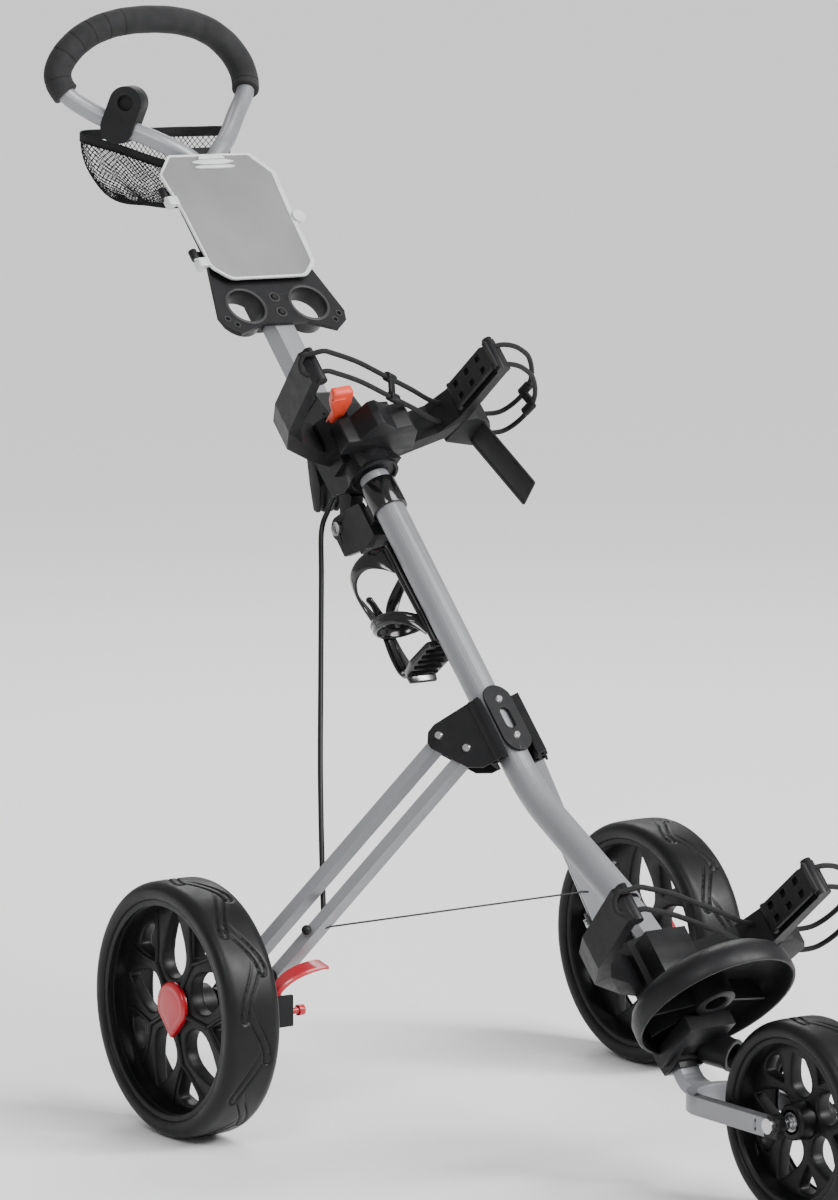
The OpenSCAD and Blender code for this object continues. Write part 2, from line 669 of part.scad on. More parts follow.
// Net bag between the handle tubes: a hollow pocket, open at the top
bag_rim = [[-550, 104, 1052], [-487, 28, 1020]];
bag_foot = [[-540, 34, 974], [-505, 30, 968]];
module bag_shape(lift, inset) hull() for (m = [0, 1]) mirror([0, m, 0])
    for (p = concat(bag_rim, bag_foot))
        translate([p[0] + (p[0] < -520 ? inset : -inset), p[1] - inset, p[2] + lift])
            sphere(r = 3, $fn = 16);
module net_bag() color([0.1, 0.1, 0.1]) world() difference() {
    bag_shape(0, 0);
    bag_shape(5, 3);
}

// ---- Side arms ----
bar_wall = 1.4;
module bar(left, pivot, end_clear, wire_hole) {
    color("silver") difference() {
        on_arm(left) translate([pivot[0], pivot[1], arm_n]) rotate([0, 0, arm_angle]) difference() {
            box([-8, -bar_w / 2, -bar_t / 2], [bar_len + 8, bar_w / 2, bar_t / 2]);
            box([-9, -bar_w / 2 + bar_wall, -bar_t / 2 + bar_wall],
                [bar_len + 9, bar_w / 2 - bar_wall, bar_t / 2 - bar_wall]);
            for (b = [[0, fit], [bar_len, end_clear]]) translate([b[0], 0, 0])
                cylinder(r = pin_r + b[1], h = 2 * bar_t, center = true);
        }
        // Hole in the inner side that the wire comes out of
        if (wire_hole) side(left) world() translate([wire_end[0], 120, wire_end[2]])
            rotate([-90, 0, 0]) cylinder(r = 1.7, h = -wire_end[1] - 119);
    }
}
anchor_at = 262;
module wire_anchor(left) {
    color([0.1, 0.1, 0.1]) on_arm(left) translate([pivot_low[0], pivot_low[1], arm_n])
        rotate([0, 0, arm_angle]) translate([anchor_at, 0, bar_t / 2]) {
            cylinder(r = 2.6, h = 7);
            translate([0, 0, 7]) sphere(r = 5.5);
        }
}
module carrier_plan(r) hull() {
    translate(end_up) circle(r, $fn = 32);
    translate(end_low) circle(r, $fn = 32);
    translate([154, 404]) circle(r + 5, $fn = 32);
}
module carrier(left, brake) {
    color([0.1, 0.1, 0.1]) difference() {
        union() {
            on_arm(left) {
                translate([0, 0, plate_in - 1]) linear_extrude(plate_t + 1) carrier_plan(11.5);
                translate([0, 0, plate_out]) linear_extrude(plate_t + 1) carrier_plan(11.5);
                difference() {
                    translate([0, 0, plate_in]) linear_extrude(plate_out - plate_in + 1)
                        intersection() {
                            carrier_plan(11.5);
                            translate([100, 386]) square([120, 60]);
                        }
                    for (p = [end_up, end_low]) translate([p[0], p[1], plate_in + plate_t])
                        cylinder(r = 14.5, h = plate_out - plate_in - plate_t);
                }
            }
            side(left) world() {
                translate([0, 0, rear_r]) along_y(252, boss_end) circle(17);
                if (brake) {
                    box([0, 246, 124], [64, 268, 150]);
                    box([48, 228, 122], [76, 262, 156]);
                }
            }
        }
        for (p = [end_up, end_low]) on_arm(left) translate([p[0], p[1], 0])
            cylinder(r = pin_r, h = 60);
        side(left) world() translate([0, 0, rear_r]) rotate([-90, 0, 0]) cylinder(r = axle_r, h = 400);
        // Room for the axle's collar
        side(left) world() translate([0, boss_end, rear_r]) rotate([-90, 0, 0])
            cylinder(r = 9.3, h = 40);
        if (brake) side(left) world() {
            translate([brake_pin_x, 0, brake_pin_z]) rotate([-90, 0, 0])
                cylinder(r = 3.5 + fit, h = 400);
            // Slot for the pedal's arm
            box([pedal_x - 9, 200, 146], [pedal_x + 9, 256, 170]);
        }
    }
    if (brake) color("gray") side(left) world() translate([pedal_x - 14, pedal_y, pedal_z])
        rotate([0, 90, 0]) cylinder(r = 2, h = 28);
}
module carrier_pins(left) {
    color("silver") on_arm(left) for (p = [end_up, end_low])
        translate([p[0], p[1], plate_in - 3]) {
            cylinder(r = pin_r, h = plate_out - plate_in + plate_t + 4);
            translate([0, 0, plate_out - plate_in + plate_t + 4])
                cylinder(r1 = 5, r2 = 3.6, h = 2.6);
            translate([0, 0, -1.6]) cylinder(r = 5.4, h = 3.6);
        }
}
module axle(left) {
    color("gray") at_rear(left) {
        along_y(256 - track / 2, hub_out - 2) circle(axle_r);
        along_y(boss_end - track / 2, hub_in - 0.4) circle(9);
    }
}

// ---- Wheels ----
module tyre(r, w, depth) rotate([-90, 0, 0]) rotate_extrude($fn = 120) translate([r - depth, 0]) {
    shoulder = depth / 2;
    translate([0, -w / 2 + shoulder]) square([depth, w - 2 * shoulder]);
    translate([0, -w / 2]) square([depth - shoulder, w]);
    for (y = [-1, 1]) translate([depth - shoulder, y * (w / 2 - shoulder)]) circle(shoulder);
}
// Wheel windows: large drops, round at the hub and pointed at the rim, and small ones the other way
module drop(r_round, r_point, wide) {
    dir = r_point > r_round ? 1 : -1;
    translate([r_round, 0]) circle(wide);
    polygon([[r_point, 0], [r_round + dir * wide * 0.4, wide * 0.92],
             [r_round + dir * wide * 0.4, -wide * 0.92]]);
}
module rim(r, w, hub_r, bore_r, hub0, hub1, windows, small) {
    rotate([-90, 0, 0]) difference() {
        union() {
            rotate_extrude($fn = 120) translate([r - 6, -w / 2]) square([6, w]);
            translate([0, 0, -9]) linear_extrude(15) difference() {
                circle(r - 4, $fn = 120);
                for (i = [0:windows - 1]) rotate(360 / windows * i - 98) {
                    drop(hub_r + 8 + small * 1.6, r - 9, small * 1.6);
                    rotate(180 / windows) drop(r - 9 - small, hub_r + 20, small);
                }
            }
            translate([0, 0, hub0]) cylinder(r = hub_r, h = hub1 - hub0);
        }
        translate([0, 0, -60]) cylinder(r = bore_r, h = 120);
    }
}
module rear_rim() rim(rear_r - tyre_depth - 0.05, rear_w - 6, 24, bearing_r, hub_in, hub_out, 5, 13);
module bearings(y0, y1, r_out, r_in, h) for (y = [y0, y1 - h]) translate([0, y, 0])
    rotate([-90, 0, 0]) difference() {
        cylinder(r = r_out, h = h);
        translate([0, 0, -1]) cylinder(r = r_in, h = h + 2);
    }
module rear_bearings() bearings(hub_in, hub_out - 6, bearing_r, axle_r + fit, 8);
// Drop-shaped hub cap, point down
module hub_cap() along_y(hub_out + 0.05, hub_out + 7) {
    circle(29);
    rotate(90) polygon([[33, 0], [20, 21], [20, -21]]);
}

module right_upper_bar() bar(false, pivot_up, fit, false);
module right_lower_bar() bar(false, pivot_low, gap, true);
module left_upper_bar() bar(true, pivot_up, fit, false);
module left_lower_bar() bar(true, pivot_low, gap, true);
module right_wire_anchor() wire_anchor(false);
module left_wire_anchor() wire_anchor(true);
module right_carrier() carrier(false, true);
module left_carrier() carrier(true, false);
module right_carrier_pins() carrier_pins(false);
module left_carrier_pins() carrier_pins(true);
module right_axle() axle(false);
module left_axle() axle(true);
module right_tyre() color([0.1, 0.1, 0.1]) at_rear(false) tyre(rear_r, rear_w, tyre_depth);
module left_tyre() color([0.1, 0.1, 0.1]) at_rear(true) tyre(rear_r, rear_w, tyre_depth);
module right_rim() color([0.16, 0.16, 0.16]) at_rear(false) rear_rim();
module left_rim() color([0.16, 0.16, 0.16]) at_rear(true) rear_rim();
module right_hub_cap() color([0.8, 0.05, 0.1]) at_rear(false) hub_cap();
module left_hub_cap() color([0.8, 0.05, 0.1]) at_rear(true) hub_cap();
module right_bearings() color("gray") at_rear(false) rear_bearings();
module left_bearings() color("gray") at_rear(true) rear_bearings();
module right_wing() wing(false);
module left_wing() wing(true);
front_hub = 23;
module front_tyre() color([0.1, 0.1, 0.1]) at_front() tyre(front_r, front_w, tyre_depth - 2);
module front_rim() color([0.16, 0.16, 0.16]) at_front()
    rim(front_r - tyre_depth + 1.95, front_w - 6, 20, 10, -front_hub, front_hub, 5, 10);
module front_bearings() color("gray") at_front()
    bearings(-front_hub, front_hub, 10, front_axle_r + fit, 8);

// ---- Brake on the right-hand carrier ----
pedal_x = 62;
pedal_y = 246;
pedal_z = 152;
brake_pin_x = 66;
brake_pin_z = 136;
module brake_pedal() {
    color([0.75, 0.05, 0.08]) side(false) world() difference() {
        translate([pedal_x, pedal_y, pedal_z]) union() {
            rotate([0, 90, 0]) cylinder(r = 5, h = 14, center = true);
            plate_x(-7, 7) polygon([[-4, 3], [4, -2], [-10, 4], [-24, 20], [-40, 26], [-62, 30],
                                    [-60, 36], [-36, 34], [-14, 26], [-2, 5]]);
            plate_x(-8.5, 18) polygon([[-20, 17], [-34, 22], [-62, 27], [-60, 36], [-36, 34],
                                      [-16, 26]]);
        }
        translate([0, pedal_y, pedal_z]) rotate([0, 90, 0]) cylinder(r = 2 + fit, h = 200);
    }
}
module brake_pin() {
    color([0.6, 0.05, 0.1]) side(false) world() translate([brake_pin_x, 0, brake_pin_z]) {
        along_y(216, 276) circle(3.5);
        along_y(209, 216) circle(6);
    }
}

// ---- Cables that the cart holds at both ends ----
cable_route = [[-150, -20, 662], [-158, -22, 646], [-160, -30, 622], [-134, -48, 572],
               [-81, -85, 471], [-29, -121, 370], [23, -154, 270], [53, -172, 219]];
module tension_cable() color([0.06, 0.06, 0.06]) world() swept(spline(cable_route, 3), 3, 10);
// The wire runs straight across, from inside one lower bar to inside the other
wire_end = [64, -178, 222.5];
wire_route = [for (i = [-6:6]) [wire_end[0], -wire_end[1] * i / 6, wire_end[2]]];
module arm_wire() color("gray") world() swept(wire_route, 1.2, 8);

lower_tube();
fork_frame();
fork_end_plugs();
front_axle();
saddle_plate();
frame_screws();
right_wing();
left_wing();
wing_pins();
hinge_block();
hinge_bolt();
tube_collar();
bottle_cage();
lower_cradle();
bag_rest();
lower_bungee();
lower_buckle();
tension_cable();
arm_wire();
upper_tube();
bracket_body();
upper_cradle();
upper_bungee();
bungee_joiners();
upper_buckle();
upper_strap();
console();
console_screws();
handle_loop();
grip();
net_bag();
gadget_holder();
cam_lever();
latch_button();
card_flap();
right_upper_bar();
right_lower_bar();
right_wire_anchor();
right_carrier();
right_carrier_pins();
right_axle();
right_tyre();
right_rim();
right_hub_cap();
right_bearings();
brake_pedal();
brake_pin();
left_upper_bar();
left_lower_bar();
left_wire_anchor();
left_carrier();
left_carrier_pins();
left_axle();
left_tyre();
left_rim();
left_hub_cap();
left_bearings();
front_tyre();
front_rim();
front_bearings();
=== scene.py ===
"""Looks of a three-wheel golf push trolley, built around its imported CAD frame."""
import json
import math

import bmesh
import bpy
from mathutils import Matrix, Vector


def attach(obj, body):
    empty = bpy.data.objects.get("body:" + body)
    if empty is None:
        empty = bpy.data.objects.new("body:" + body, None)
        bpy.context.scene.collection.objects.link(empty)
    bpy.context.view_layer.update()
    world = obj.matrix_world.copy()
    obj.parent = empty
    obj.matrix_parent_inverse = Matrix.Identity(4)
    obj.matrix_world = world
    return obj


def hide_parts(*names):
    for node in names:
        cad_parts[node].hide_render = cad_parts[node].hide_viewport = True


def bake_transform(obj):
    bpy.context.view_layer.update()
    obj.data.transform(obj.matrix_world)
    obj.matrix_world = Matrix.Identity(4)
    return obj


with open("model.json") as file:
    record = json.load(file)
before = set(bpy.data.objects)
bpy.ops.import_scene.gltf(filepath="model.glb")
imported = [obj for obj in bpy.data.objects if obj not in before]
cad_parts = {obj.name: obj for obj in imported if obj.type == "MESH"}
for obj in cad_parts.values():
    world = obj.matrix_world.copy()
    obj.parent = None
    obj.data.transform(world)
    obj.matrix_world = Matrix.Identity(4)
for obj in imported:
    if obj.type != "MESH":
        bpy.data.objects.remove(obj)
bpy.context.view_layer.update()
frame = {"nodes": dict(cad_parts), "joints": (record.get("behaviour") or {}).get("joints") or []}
nodes = frame["nodes"]
joints = {j["name"]: j for j in frame["joints"]}

# ---------------------------------------------------------------- places
# Everything below is in metres in the row frame. MM turns millimetres into metres.
MM = 0.001
SLOPE = math.radians(46.5)
ALONG = Vector((math.cos(SLOPE), 0, -math.sin(SLOPE)))
ACROSS = Vector((0, 1, 0))
OUT = Vector((math.sin(SLOPE), 0, math.cos(SLOPE)))
HINGE = Vector(joints["handle_fold"]["pos_m"])
HINGE_S, HINGE_N = -297, -76


def frame_matrix(x, y, z, origin):
    """A matrix whose columns are three directions and an origin."""
    m = Matrix((x, y, z)).transposed().to_4x4()
    m.translation = origin
    return m


# Tube frame: x along the lower tube towards the ground, y to the left, z forward and up
TUBE = frame_matrix(ALONG, ACROSS, OUT, HINGE - ALONG * HINGE_S * MM - OUT * HINGE_N * MM)
MIRROR_Y = Matrix.Scale(-1, 4, (0, 1, 0))
WHEELS = {side: Matrix.Translation(joints[side + "_wheel_spin"]["pos_m"]) for side in ("right", "left")}
FRONT = Matrix.Translation(joints["front_wheel_spin"]["pos_m"])
# The design frame has its zero on the ground under the rear axle
DESIGN = Matrix.Translation((WHEELS["left"].translation.x, 0, 0))
# Turns a plate drawn in x and y into one in y and z, standing across x
STAND_X = frame_matrix((0, 1, 0), (0, 0, 1), (1, 0, 0), (0, 0, 0))
# Turns a plate drawn in x and y into one in x and z, standing across y
STAND_Y = frame_matrix((1, 0, 0), (0, 0, 1), (0, -1, 0), (0, 0, 0))


# ---------------------------------------------------------------- camera, light and floor
CAMERA_PLACE = (4.4931, -3.2469, 1.3236)
CAMERA_AZIMUTH, CAMERA_PITCH = 54.8, 7.74
LENS, SENSOR = 154.1, 36
WORLD_LIGHT = 0.5
SUN_FROM, SUN_POWER, SUN_SPREAD = Vector((0.75, 0.3, 0.85)), 3.2, 35
FLOOR_HALF = 60
# Name, place, where it aims, size and power of each soft light
SOFT_LIGHTS = [("key", (2.6, -3.0, 3.6), (0, 0, 0.5), 1.2, 70),
               ("side", (3.0, 2.6, 2.6), (0, 0, 0.4), 0.9, 130),
               ("back", (-2.8, 1.8, 3.2), (0, 0, 0.6), 2.0, 60)]


def look_from(azimuth, pitch):
    """A camera's turn: azimuth about the vertical, pitch down from level."""
    return Matrix.Rotation(math.radians(azimuth), 4, "Z") @ Matrix.Rotation(math.radians(90 - pitch), 4, "X")


def add_camera():
    data = bpy.data.cameras.new("camera")
    data.sensor_width = SENSOR
    data.sensor_fit = "AUTO"
    data.lens = LENS
    data.clip_end = 200
    camera = bpy.data.objects.new("camera", data)
    camera.matrix_world = Matrix.Translation(CAMERA_PLACE) @ look_from(CAMERA_AZIMUTH, CAMERA_PITCH)
    bpy.context.scene.collection.objects.link(camera)
    bpy.context.scene.camera = camera


def add_area(name, place, target, size, power):
    data = bpy.data.lights.new(name, "AREA")
    data.size = size
    data.energy = power
    light = bpy.data.objects.new(name, data)
    aim = (Vector(target) - Vector(place)).to_track_quat("-Z", "Y")
    light.matrix_world = Matrix.Translation(place) @ aim.to_matrix().to_4x4()
    bpy.context.scene.collection.objects.link(light)


def add_stage():
    world = bpy.data.worlds.new("world")
    bpy.context.scene.world = world
    world.use_nodes = True
    world.node_tree.nodes["Background"].inputs["Color"].default_value = (1, 1, 1, 1)
    world.node_tree.nodes["Background"].inputs["Strength"].default_value = WORLD_LIGHT
    sun_data = bpy.data.lights.new("sun", "SUN")
    sun_data.energy = SUN_POWER
    sun_data.angle = math.radians(SUN_SPREAD)
    sun = bpy.data.objects.new("sun", sun_data)
    sun.matrix_world = (-SUN_FROM).to_track_quat("-Z", "Y").to_matrix().to_4x4()
    bpy.context.scene.collection.objects.link(sun)
    for light in SOFT_LIGHTS:
        add_area(*light)
    material = bpy.data.materials.new("floor")
    material.use_nodes = True
    shader = material.node_tree.nodes["Principled BSDF"]
    shader.inputs["Base Color"].default_value = (0.9, 0.9, 0.9, 1)
    shader.inputs["Roughness"].default_value = 0.7
    mesh = bpy.data.meshes.new("floor")
    corners = [(x * FLOOR_HALF, y * FLOOR_HALF, 0) for x, y in ((-1, -1), (1, -1), (1, 1), (-1, 1))]
    mesh.from_pydata(corners, [], [(0, 1, 2, 3)])
    mesh.materials.append(material)
    floor = bpy.data.objects.new("floor", mesh)
    bpy.context.scene.collection.objects.link(floor)


# ---------------------------------------------------------------- materials
def shader_of(material):
    return material.node_tree.nodes["Principled BSDF"]


def make_material(name, color, roughness, metallic=0.0, coat=0.0, sheen=0.0, specular=0.5, alpha=1.0):
    material = bpy.data.materials.new(name)
    material.use_nodes = True
    shader = shader_of(material)
    shader.inputs["Base Color"].default_value = (*color, 1)
    shader.inputs["Roughness"].default_value = roughness
    shader.inputs["Metallic"].default_value = metallic
    shader.inputs["Coat Weight"].default_value = coat
    shader.inputs["Coat Roughness"].default_value = 0.12
    shader.inputs["Sheen Weight"].default_value = sheen
    shader.inputs["Specular IOR Level"].default_value = specular
    shader.inputs["Alpha"].default_value = alpha
    return material


def noise(tree, scale, detail, rough=0.5):
    place = tree.nodes.new("ShaderNodeTexCoord")
    node = tree.nodes.new("ShaderNodeTexNoise")
    node.inputs["Scale"].default_value = scale
    node.inputs["Detail"].default_value = detail
    node.inputs["Roughness"].default_value = rough
    tree.links.new(place.outputs["Object"], node.inputs["Vector"])
    return node


def spread(tree, source, low, high):
    """Maps a 0 to 1 value to the range from low to high."""
    node = tree.nodes.new("ShaderNodeMapRange")
    node.inputs["From Min"].default_value = 0.25
    node.inputs["From Max"].default_value = 0.75
    node.inputs["To Min"].default_value = low
    node.inputs["To Max"].default_value = high
    tree.links.new(source, node.inputs["Value"])
    return node.outputs["Result"]


def vary_roughness(material, scale, low, high):
    tree = material.node_tree
    out = spread(tree, noise(tree, scale, 3).outputs["Fac"], low, high)
    tree.links.new(out, shader_of(material).inputs["Roughness"])


def vary_color(material, scale, dark, light):
    tree = material.node_tree
    mix = tree.nodes.new("ShaderNodeMix")
    mix.data_type = "RGBA"
    mix.inputs["A"].default_value = (*dark, 1)
    mix.inputs["B"].default_value = (*light, 1)
    tree.links.new(spread(tree, noise(tree, scale, 4).outputs["Fac"], 0, 1), mix.inputs["Factor"])
    tree.links.new(mix.outputs["Result"], shader_of(material).inputs["Base Color"])


def add_bump(material, height, distance, strength):
    tree = material.node_tree
    bump = tree.nodes.new("ShaderNodeBump")
    bump.inputs["Strength"].default_value = strength
    bump.inputs["Distance"].default_value = distance
    tree.links.new(height, bump.inputs["Height"])
    tree.links.new(bump.outputs["Normal"], shader_of(material).inputs["Normal"])


def grain(material, scale, distance, strength=0.4, detail=4):
    add_bump(material, noise(material.node_tree, scale, detail, 0.6).outputs["Fac"], distance, strength)


MAT = {}


def surface(name, color, roughness, tones=None, finish=None, bump=None, glow=0.0, **looks):
    """A material under its name in MAT. Tones are (scale, dark, light), finish is (scale, low, high) for
    the roughness, bump is (scale, distance, strength) for the grain, glow lets light in."""
    material = MAT[name] = make_material(name, color, roughness, **looks)
    if tones:
        vary_color(material, *tones)
    if finish:
        vary_roughness(material, *finish)
    if bump:
        grain(material, *bump)
    if glow:
        shader_of(material).inputs["Subsurface Weight"].default_value = glow
        shader_of(material).inputs["Subsurface Radius"].default_value = (0.004, 0.004, 0.004)


def woven(name, color, along):
    """Braided or woven cloth: two fine waves that cross."""
    surface(name, color, 0.7, sheen=0.03, specular=0.25)
    tree = MAT[name].node_tree
    place = tree.nodes.new("ShaderNodeTexCoord")
    heights = []
    for direction in ("DIAGONAL", along):
        wave = tree.nodes.new("ShaderNodeTexWave")
        wave.bands_direction = direction
        wave.inputs["Scale"].default_value = 260
        wave.inputs["Distortion"].default_value = 1.5
        tree.links.new(place.outputs["Object"], wave.inputs["Vector"])
        heights.append(wave.outputs["Fac"])
    top = tree.nodes.new("ShaderNodeMath")
    top.operation = "MAXIMUM"
    tree.links.new(heights[0], top.inputs[0])
    tree.links.new(heights[1], top.inputs[1])
    add_bump(MAT[name], top.outputs["Value"], 0.0004, 0.6)


surface("frame_metal", (0.27, 0.272, 0.288), 0.42, (9, (0.255, 0.257, 0.272), (0.285, 0.288, 0.305)),
        (60, 0.36, 0.46), (1500, 0.0002, 0.25), metallic=0.45, specular=0.35)
surface("steel", (0.55, 0.55, 0.56), 0.28, None, (300, 0.2, 0.38), (900, 0.0001, 0.2), metallic=1.0)
surface("black_plastic", (0.01, 0.01, 0.011), 0.42, (30, (0.007, 0.007, 0.008), (0.012, 0.012, 0.013)),
        (90, 0.36, 0.5), (2200, 0.00015, 0.35), specular=0.22)
surface("grey_plastic", (0.028, 0.028, 0.029), 0.5, (30, (0.023, 0.023, 0.024), (0.033, 0.033, 0.034)),
        (120, 0.44, 0.56), (2200, 0.0002, 0.4), specular=0.3)
surface("gloss_black", (0.004, 0.004, 0.0045), 0.14, None, (40, 0.1, 0.2), coat=0.5, specular=0.4)
surface("bracket_metal", (0.01, 0.01, 0.011), 0.48, (70, (0.008, 0.008, 0.009), (0.013, 0.013, 0.014)),
        (160, 0.4, 0.56), (1300, 0.0002, 0.4), specular=0.22)
surface("tyre_foam", (0.006, 0.006, 0.0065), 0.4, (24, (0.005, 0.005, 0.0055), (0.008, 0.008, 0.0085)),
        (45, 0.33, 0.47), (1600, 0.0002, 0.35), specular=0.22)
surface("rim_plastic", (0.007, 0.007, 0.0075), 0.42, (30, (0.005, 0.005, 0.0055), (0.009, 0.009, 0.0095)),
        (70, 0.34, 0.5), (1900, 0.0002, 0.3), specular=0.22)
surface("red_gloss", (0.52, 0.006, 0.018), 0.3, (30, (0.4, 0.004, 0.012), (0.5, 0.006, 0.018)), None,
        (700, 0.0001, 0.15), coat=0.35)
surface("latch_red", (0.85, 0.07, 0.03), 0.38, (60, (0.8, 0.06, 0.025), (0.88, 0.085, 0.04)), None,
        (1500, 0.0002, 0.25))
surface("grip_foam", (0.02, 0.02, 0.021), 0.85, (55, (0.015, 0.015, 0.016), (0.027, 0.027, 0.028)), None,
        (1100, 0.0005, 0.6, 6), sheen=0.05, specular=0.2)
surface("clear_flap", (0.4, 0.41, 0.42), 0.34, (9, (0.17, 0.17, 0.172), (0.25, 0.25, 0.253)), None,
        (1800, 0.0001, 0.3), 0.2, coat=0.3, alpha=0.93)
surface("clear_edge", (0.82, 0.83, 0.84), 0.3, (60, (0.56, 0.57, 0.58), (0.68, 0.69, 0.7)), glow=0.3,
        coat=0.4)
surface("net_mesh", (0.008, 0.008, 0.0085), 0.7, None, None, (2500, 0.0002, 0.5), specular=0.25)
woven("hem_cloth", (0.009, 0.009, 0.0095), "X")
woven("elastic_cord", (0.008, 0.008, 0.0085), "Z")
surface("rubber_strap", (0.012, 0.012, 0.0125), 0.55, (40, (0.01, 0.01, 0.0105), (0.016, 0.016, 0.0165)),
        None, (1400, 0.0002, 0.4), specular=0.25)
surface("cable_sheath", (0.007, 0.007, 0.0075), 0.35, None, (200, 0.3, 0.44), (900, 0.0001, 0.2),
        specular=0.3)


# ---------------------------------------------------------------- building pieces
def add_piece(name, verts, faces, material, body, matrix, replaces=(), angle=35):
    """A mesh piece from points in mm in the frame that matrix gives; edges sharper than angle stay sharp.
    With no body, the piece is left unattached to any body."""
    mesh = bpy.data.meshes.new(name)
    mesh.from_pydata([matrix @ (Vector(v) * MM) for v in verts], [], faces)
    tidy = bmesh.new()
    tidy.from_mesh(mesh)
    bmesh.ops.remove_doubles(tidy, verts=tidy.verts, dist=1e-6)
    bmesh.ops.recalc_face_normals(tidy, faces=tidy.faces)
    tidy.to_mesh(mesh)
    tidy.free()
    mesh.materials.append(MAT[material])
    obj = bpy.data.objects.new(name, mesh)
    bpy.context.scene.collection.objects.link(obj)
    mesh.shade_smooth()
    mesh.set_sharp_from_angle(angle=math.radians(angle))
    if body:
        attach(obj, body)
    if replaces:
        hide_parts(*replaces)
    return obj


def join_shapes(*shapes):
    """One list of points and faces from several."""
    verts, faces = [], []
    for v, f in shapes:
        start = len(verts)
        verts += [Vector(p) for p in v]
        faces += [tuple(i + start for i in face) for face in f]
    return verts, faces


def moved(shape, matrix):
    return [matrix @ Vector(p) for p in shape[0]], shape[1]


def shift(x, y, z):
    return Matrix.Translation((x, y, z))


def turn(degrees, axis):
    return Matrix.Rotation(math.radians(degrees), 4, axis)


def block(lo, hi):
    (x0, y0, z0), (x1, y1, z1) = lo, hi
    verts = [(x, y, z) for x in (x0, x1) for y in (y0, y1) for z in (z0, z1)]
    return verts, [(0, 1, 3, 2), (4, 6, 7, 5), (0, 4, 5, 1), (2, 3, 7, 6), (0, 2, 6, 4), (1, 5, 7, 3)]


def arc(center, r, a0, a1, steps):
    return [(center[0] + r * math.cos(math.radians(a0 + (a1 - a0) * i / steps)),
             center[1] + r * math.sin(math.radians(a0 + (a1 - a0) * i / steps))) for i in range(steps + 1)]


def ring_faces(rings, n, closed=False, caps=False):
    """Faces between rings of n points each; closed joins the last ring to the first, caps fill the ends."""
    faces = [(i * n + j, i * n + (j + 1) % n, (i + 1) % rings * n + (j + 1) % n, (i + 1) % rings * n + j)
             for i in range(rings if closed else rings - 1) for j in range(n)]
    if caps:
        faces += [tuple(range(n - 1, -1, -1)), tuple(range((rings - 1) * n, rings * n))]
    return faces


def rod(r, x0, x1, sides=32, tip=0.0):
    """A round bar along x, with chamfered ends."""
    rings = [(x0, r - tip), (x0 + tip, r), (x1 - tip, r), (x1, r - tip)] if tip else [(x0, r), (x1, r)]
    return lathe_open(rings, sides)


def lathe_open(profile, sides):
    """Turns (x, r) points about the x axis, with flat ends."""
    verts = [(x, r * math.cos(2 * math.pi * j / sides), r * math.sin(2 * math.pi * j / sides))
             for x, r in profile for j in range(sides)]
    return verts, ring_faces(len(profile), sides, caps=True)


def lathe_ring(profile, sides):
    """Turns a closed (y, r) outline about the y axis."""
    verts = []
    for j in range(sides):
        a = 2 * math.pi * j / sides
        verts += [(r * math.cos(a), y, r * math.sin(a)) for y, r in profile]
    return verts, ring_faces(sides, len(profile), closed=True)


def smooth_route(points, steps=6):
    """A Catmull-Rom curve through the points."""
    p = [Vector(q) for q in points]
    route = []
    for i in range(len(p) - 1):
        a, b, c, d = p[max(i - 1, 0)], p[i], p[i + 1], p[min(i + 2, len(p) - 1)]
        for j in range(steps):
            t = j / steps
            route.append(0.5 * (2 * b + (c - a) * t + (2 * a - 5 * b + 4 * c - d) * t * t
                                + (3 * b - a - 3 * c + d) * t ** 3))
    return route + [p[-1]]


def sweep(route, profile, start=(0, 0, 1), caps=True):
    """Carries a closed (u, v) outline along a route; profile may be a function of the share of the way."""
    route = [Vector(p) for p in route]
    up = Vector(start)
    verts, outline = [], []
    for i, p in enumerate(route):
        tangent = (route[min(i + 1, len(route) - 1)] - route[max(i - 1, 0)]).normalized()
        up = (up - tangent * up.dot(tangent)).normalized()
        across = tangent.cross(up)
        outline = profile(i / (len(route) - 1)) if callable(profile) else profile
        verts += [p + up * u + across * v for u, v in outline]
    return verts, ring_faces(len(route), len(outline), caps=caps)


def flat_outline(height, width, corner=1.0):
    """A rectangle with cut corners, for straps and bands."""
    h, w, c = height / 2, width / 2, corner
    return [(h, w - c), (h, c - w), (h - c, -w), (c - h, -w), (-h, c - w), (-h, w - c), (c - h, w),
            (h - c, w)]


def cord_shape(points, r, steps=6, sides=12, start=(1, 0, 0)):
    return sweep(smooth_route(points, steps), circle(0, 0, r, sides), start)


# ---------------------------------------------------------------- CAD nodes that stay
# Each material's nodes, and the width in mm of the bevel on their edges
KEPT = {
    "frame_metal": (["lower_tube", "fork_frame", "upper_tube", "right_upper_bar", "right_lower_bar",
                     "left_upper_bar", "left_lower_bar"], 0.8),
    "steel": (["front_axle", "frame_screws", "wing_pins", "hinge_bolt", "right_carrier_pins",
               "left_carrier_pins", "right_axle", "left_axle", "right_bearings", "left_bearings",
               "front_bearings"], 0.4),
    "black_plastic": (["fork_end_plugs", "hinge_block", "lower_cradle", "bracket_body", "upper_cradle",
                       "console", "gadget_holder", "right_wire_anchor", "left_wire_anchor",
                       "right_carrier", "left_carrier"], 1.0),
    "gloss_black": (["tube_collar"], 0.8),
    "bracket_metal": (["saddle_plate", "right_wing", "left_wing", "console_screws"], 0.6),
    "red_gloss": (["brake_pin"], 1.0),
}
WELD_GAP = 0.00002
BEVELED_ANGLE = math.radians(40)


